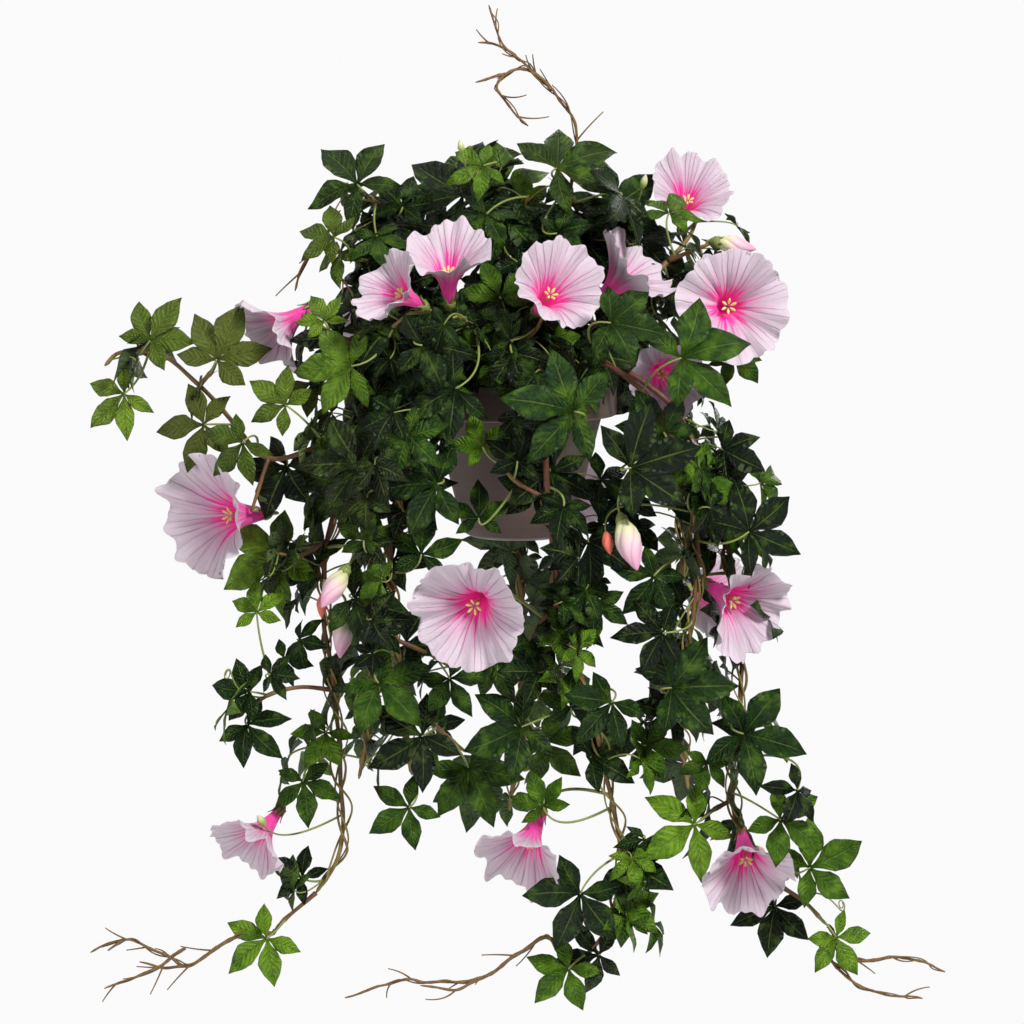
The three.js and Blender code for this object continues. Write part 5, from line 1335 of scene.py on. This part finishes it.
def has_room(hub, reach, rng):
    """True where a leaf is inside the whole plant's box and clear of the pot and the blooms. Chance
    leaves most out in front of the pot, on a bare stretch at the lower left and on the left arm."""
    x, y, z = hub.T
    room = np.all((hub - 0.8 * reach[:, None] > BOX_LOW) & (hub + 0.8 * reach[:, None] < BOX_HIGH), axis=1)
    room &= ~((np.hypot(x, y) < 80 + 0.4 * reach) & (z < 122) & (z > -14))
    room &= ~((np.abs(x) < 62) & (y < 0) & (z < 96) & (z > 8) & (rng.random(len(hub)) < BARE_POT))
    room &= ~((x < -105) & (x > -195) & (z < -90) & (y < 0) & (rng.random(len(hub)) < BARE_STRETCH))
    room &= clear_of_blooms(hub, reach)
    return room & ~((x < -150) & (z > 60) & (rng.random(len(hub)) < BARE_ARM))


def small_leaf_places():
    """Hubs off the canes, out from the pot's axis and SMALL_LEAF_GAP apart, most of them round the pot
    and in the crown, and the cover leaves after them. The inner ones, INNER_SHARE of the trials, are
    larger, lie behind their canes and are painted darker, as painted shade inside the bush."""
    rng = np.random.default_rng(SMALL_LEAF_SEED)
    trials = SMALL_LEAF_TRIALS
    names = np.concatenate([[i] * len(STEM_SAMPLES[n]) for i, n in enumerate(STEMS)])
    samples = np.concatenate([STEM_SAMPLES[n] for n in STEMS])
    near_pot, crown, belt = [np.exp(-((samples[:, 2] - middle) / size) ** 2)
                             for middle, size in ((130, 75), (215, 40), (10, 110))]
    weight = 0.16 + 1.3 * near_pot + 0.1 * belt + 0.5 * crown
    pick = rng.choice(len(samples), trials, p=weight / weight.sum())
    root = samples[pick]
    inner = rng.random(trials) < INNER_SHARE
    out = unit(root * [1, 1, 0] + rng.normal(0, 34, (trials, 3)) * [1, 1, 0])
    tilt = rng.normal(0, 0.6, (trials, 3))
    far = np.where(inner, rng.uniform(*INNER_WAY, trials), rng.uniform(*OUTER_WAY, trials))
    hub = root + unit(out + tilt) * far[:, None] * np.where(inner, INNER_SIDE, 1)[:, None]
    reach = np.where(inner, rng.uniform(*INNER_REACH, trials), rng.uniform(*OUTER_REACH, trials))
    kept = []
    spots = np.full((1, 3), 9999.0)
    for i in np.flatnonzero(has_room(hub, reach, rng)):
        if np.min(np.linalg.norm(spots - hub[i], axis=1)) > SMALL_LEAF_GAP:
            kept.append(i)
            spots = np.concatenate([spots, hub[i:i + 1]])
        if len(kept) == SMALL_LEAF_COUNT:
            break
    facing = np.degrees(np.arctan2(out[kept, 0], -out[kept, 1])) + rng.normal(0, 24, len(kept))
    cover = np.array(COVER_LEAVES, float)
    cover = cover[clear_of_blooms(cover[:, :3], cover[:, 3])]
    near = np.linalg.norm(samples[None] - cover[:, None, :3], axis=2).argmin(axis=1)
    ruled = hub[kept], reach[kept], facing, root[kept], names[pick][kept], inner[kept]
    by_hand = cover[:, :3], cover[:, 3], cover[:, 4], samples[near], names[near], cover[:, 5] > 0
    return [np.concatenate(pair) for pair in zip(ruled, by_hand)] + [rng]


def small_leaves():
    """The small leaves and their stalks, one piece of each for every stem."""
    hub, reach, facing, root, owner, inner, rng = small_leaf_places()
    count = len(hub)
    lift = 8 + 26 * rng.random(count) + np.maximum(0, hub[:, 2] - 120) * 0.2
    normal = aim(facing, lift)
    turn = np.radians(180 + rng.uniform(-120, 120, count) * np.where(hub[:, 2] > 160, 1.4, 1))
    way = aim(facing + 90, 0 * facing) * np.sin(turn)[:, None] + np.cos(turn)[:, None] * [0, 0, 1.0]
    ahead = unit(way - (way * normal).sum(1, keepdims=True) * normal)
    side = np.cross(normal, ahead)
    traits = {key: rng.uniform(low, high, count) for key, low, high in (
        ("spread", 50, 64), ("droop", 0.08, 0.3), ("fold", 0.3, 0.65))}
    tone, sage = tone_of(hub, reach, rng)
    # Inner leaves are painted darker and without sage: painted shade inside the bush.
    tone, sage = np.where(inner, tone * 0.35, tone), np.where(inner, 0, sage)
    for index, name in enumerate(STEMS):
        mine = owner == index
        if not mine.any():
            continue
        frames = [a[mine] for a in (hub, ahead, side, normal, reach)]
        rings = leaflet_rings(frames, {key: value[mine] for key, value in traits.items()}, 8, 3, rng)
        leaves = loft(rings, tone=np.repeat(tone[mine], 5), sage=np.repeat(sage[mine], 5))
        make_piece(f"{name}_small_leaves", [leaves], LEAF_CLOTH, "leaf")
        wires = stalks(frames[0] + 0.3 * frames[3], -frames[1], root[mine], 0.6, 9, 5, 1.8)
        make_piece(f"{name}_small_stalks", [wires], BARK, "leaf")


small_leaves()

# ---- tendrils ----
# A few thin wires end in a loose curl where a shoot was left bare.
# Each row is its stem, its start and end, and the radius of its curl.
TENDRILS = [
    ("left_trail", (-185, -84, -109), (-210, -96, -88), 3.5),
    ("front_left", (-88, -104, -112), (-110, -110, -152), 4),
    ("right_trail", (205, -80, -262), (240, -84, -270), 3.5),
    ("top_mid", (-20, 8, 262), (-34, -16, 292), 3),
]
TENDRIL_RADII = (0.75, 0.35)


def tendril(start, end, curl):
    """A line from start to end that sways, then winds one and a half turns of radius curl, which
    halves on the way."""
    end = np.array(end, float)
    t = np.linspace(0, 1, 34)[:, None]
    side = unit(np.cross(end - start, [0, 1.0, 0]))
    line = start + (end - start) * t + 7 * np.sin(np.pi * t) * side
    a = np.linspace(0, 3 * np.pi, 46)[1:, None]
    tighter = curl * (1 - 0.5 * a / (3 * np.pi))
    way = unit(line[-1] - line[-2])
    centre = line[-1] + curl * side
    coil = centre - tighter * np.cos(a) * side + tighter * np.sin(a) * way + a * [0, 0.35, 0]
    return np.concatenate([line, coil])[None]


for number, (stem_name, start, end, curl) in enumerate(TENDRILS, 1):
    path = tendril(nearest(STEM_SAMPLES[stem_name], [start])[0], end, curl)
    wire = tubes(path, np.linspace(*TENDRIL_RADII, path.shape[1])[None], 7, age=[1.7])
    make_piece(f"tendril_{number}", [wire], BARK, "leaf")

# ---- stage, light and camera ----
# The plant hangs over a round pale floor in a white room, in soft light from the upper right.
# Each light is its name, place, target, size and power.
FLOOR_HEIGHT, FLOOR_RADIUS, FLOOR_THICKNESS = -0.95, 1.8, 0.01
FLOOR_GLOW = 0.14
WORLD_LIGHT, WORLD_SEEN = 0.3, 0.96
CAMERA_PLACE, CAMERA_TARGET = (0, -2.2, 0.29), (-0.0042, 0, 0.0175)
CAMERA_SENSOR, CAMERA_LENS = 36, 102.55
LIGHTS = [
    ("key", (1.2, -1.7, 1.7), (0, 0, 0.05), 0.55, 86), ("fill", (-1.8, -1.8, 0.2), (0, 0, -0.05), 1.4, 24),
    ("top", (-0.2, 0.9, 2.3), (0, 0, 0), 1.6, 12), ("back", (0.6, 2.6, 0.6), (0, 0, 0), 1.8, 30),
]


def pale_floor():
    """A thin round floor, matt and near white, well under the lowest leaf."""
    edge = np.array([(FLOOR_RADIUS, FLOOR_HEIGHT - FLOOR_THICKNESS), (FLOOR_RADIUS, FLOOR_HEIGHT)])
    disc = loft(turned(edge, 96))
    mesh = bpy.data.meshes.new("pale_floor")
    faces = [face.tolist() for face in np.split(disc["corners"], np.cumsum(disc["sizes"])[:-1])]
    mesh.from_pydata(disc["points"].tolist(), [], faces)
    finish, tree, shader = new_finish("matt_paint", 0.9, 0.1)
    shader.inputs["Emission Color"].default_value = (1, 1, 1, 1)
    shader.inputs["Emission Strength"].default_value = FLOOR_GLOW
    cloud = place_grain(tree, 3.0, 200.0, 0.0002)[0]
    paint = mix_of(tree, cloud, (0.8, 0.8, 0.8, 1), (0.86, 0.86, 0.86, 1))
    mesh.materials.append(wired(finish, paint, None, None))
    floor = bpy.data.objects.new("pale_floor", mesh)
    bpy.context.scene.collection.objects.link(floor)


def white_room():
    """A white world that lights the plant softly and is seen brighter than it lights."""
    world = bpy.data.worlds.new("white_room")
    world.use_nodes = True
    tree = world.node_tree
    soft = tree.nodes["Background"]
    soft.inputs["Color"].default_value = (1, 1, 1, 1)
    soft.inputs["Strength"].default_value = WORLD_LIGHT
    seen = add_node(tree, "ShaderNodeBackground", {"Color": (1, 1, 1, 1), "Strength": WORLD_SEEN})
    sight = tree.nodes.new("ShaderNodeLightPath").outputs["Is Camera Ray"]
    both = add_node(tree, "ShaderNodeMixShader", {0: sight, 1: soft.outputs[0], 2: seen.outputs[0]})
    tree.links.new(both.outputs[0], tree.nodes["World Output"].inputs["Surface"])
    bpy.context.scene.world = world


def turned_to(thing, place, target):
    """Puts a light or camera at place, facing target, into the scene."""
    thing.location = place
    thing.rotation_euler = (Vector(target) - Vector(place)).to_track_quat("-Z", "Y").to_euler()
    bpy.context.scene.collection.objects.link(thing)


pale_floor()
white_room()
for name, place, target, size, power in LIGHTS:
    lamp = bpy.data.lights.new(name, "AREA")
    lamp.size, lamp.energy = size, power
    light = bpy.data.objects.new(name, lamp)
    light.visible_camera = False
    turned_to(light, place, target)
bpy.context.scene.view_settings.view_transform = "Standard"
lens = bpy.data.cameras.new("camera")
lens.sensor_width, lens.lens = CAMERA_SENSOR, CAMERA_LENS
camera = bpy.data.objects.new("camera", lens)
turned_to(camera, CAMERA_PLACE, CAMERA_TARGET)
bpy.context.scene.camera = camera
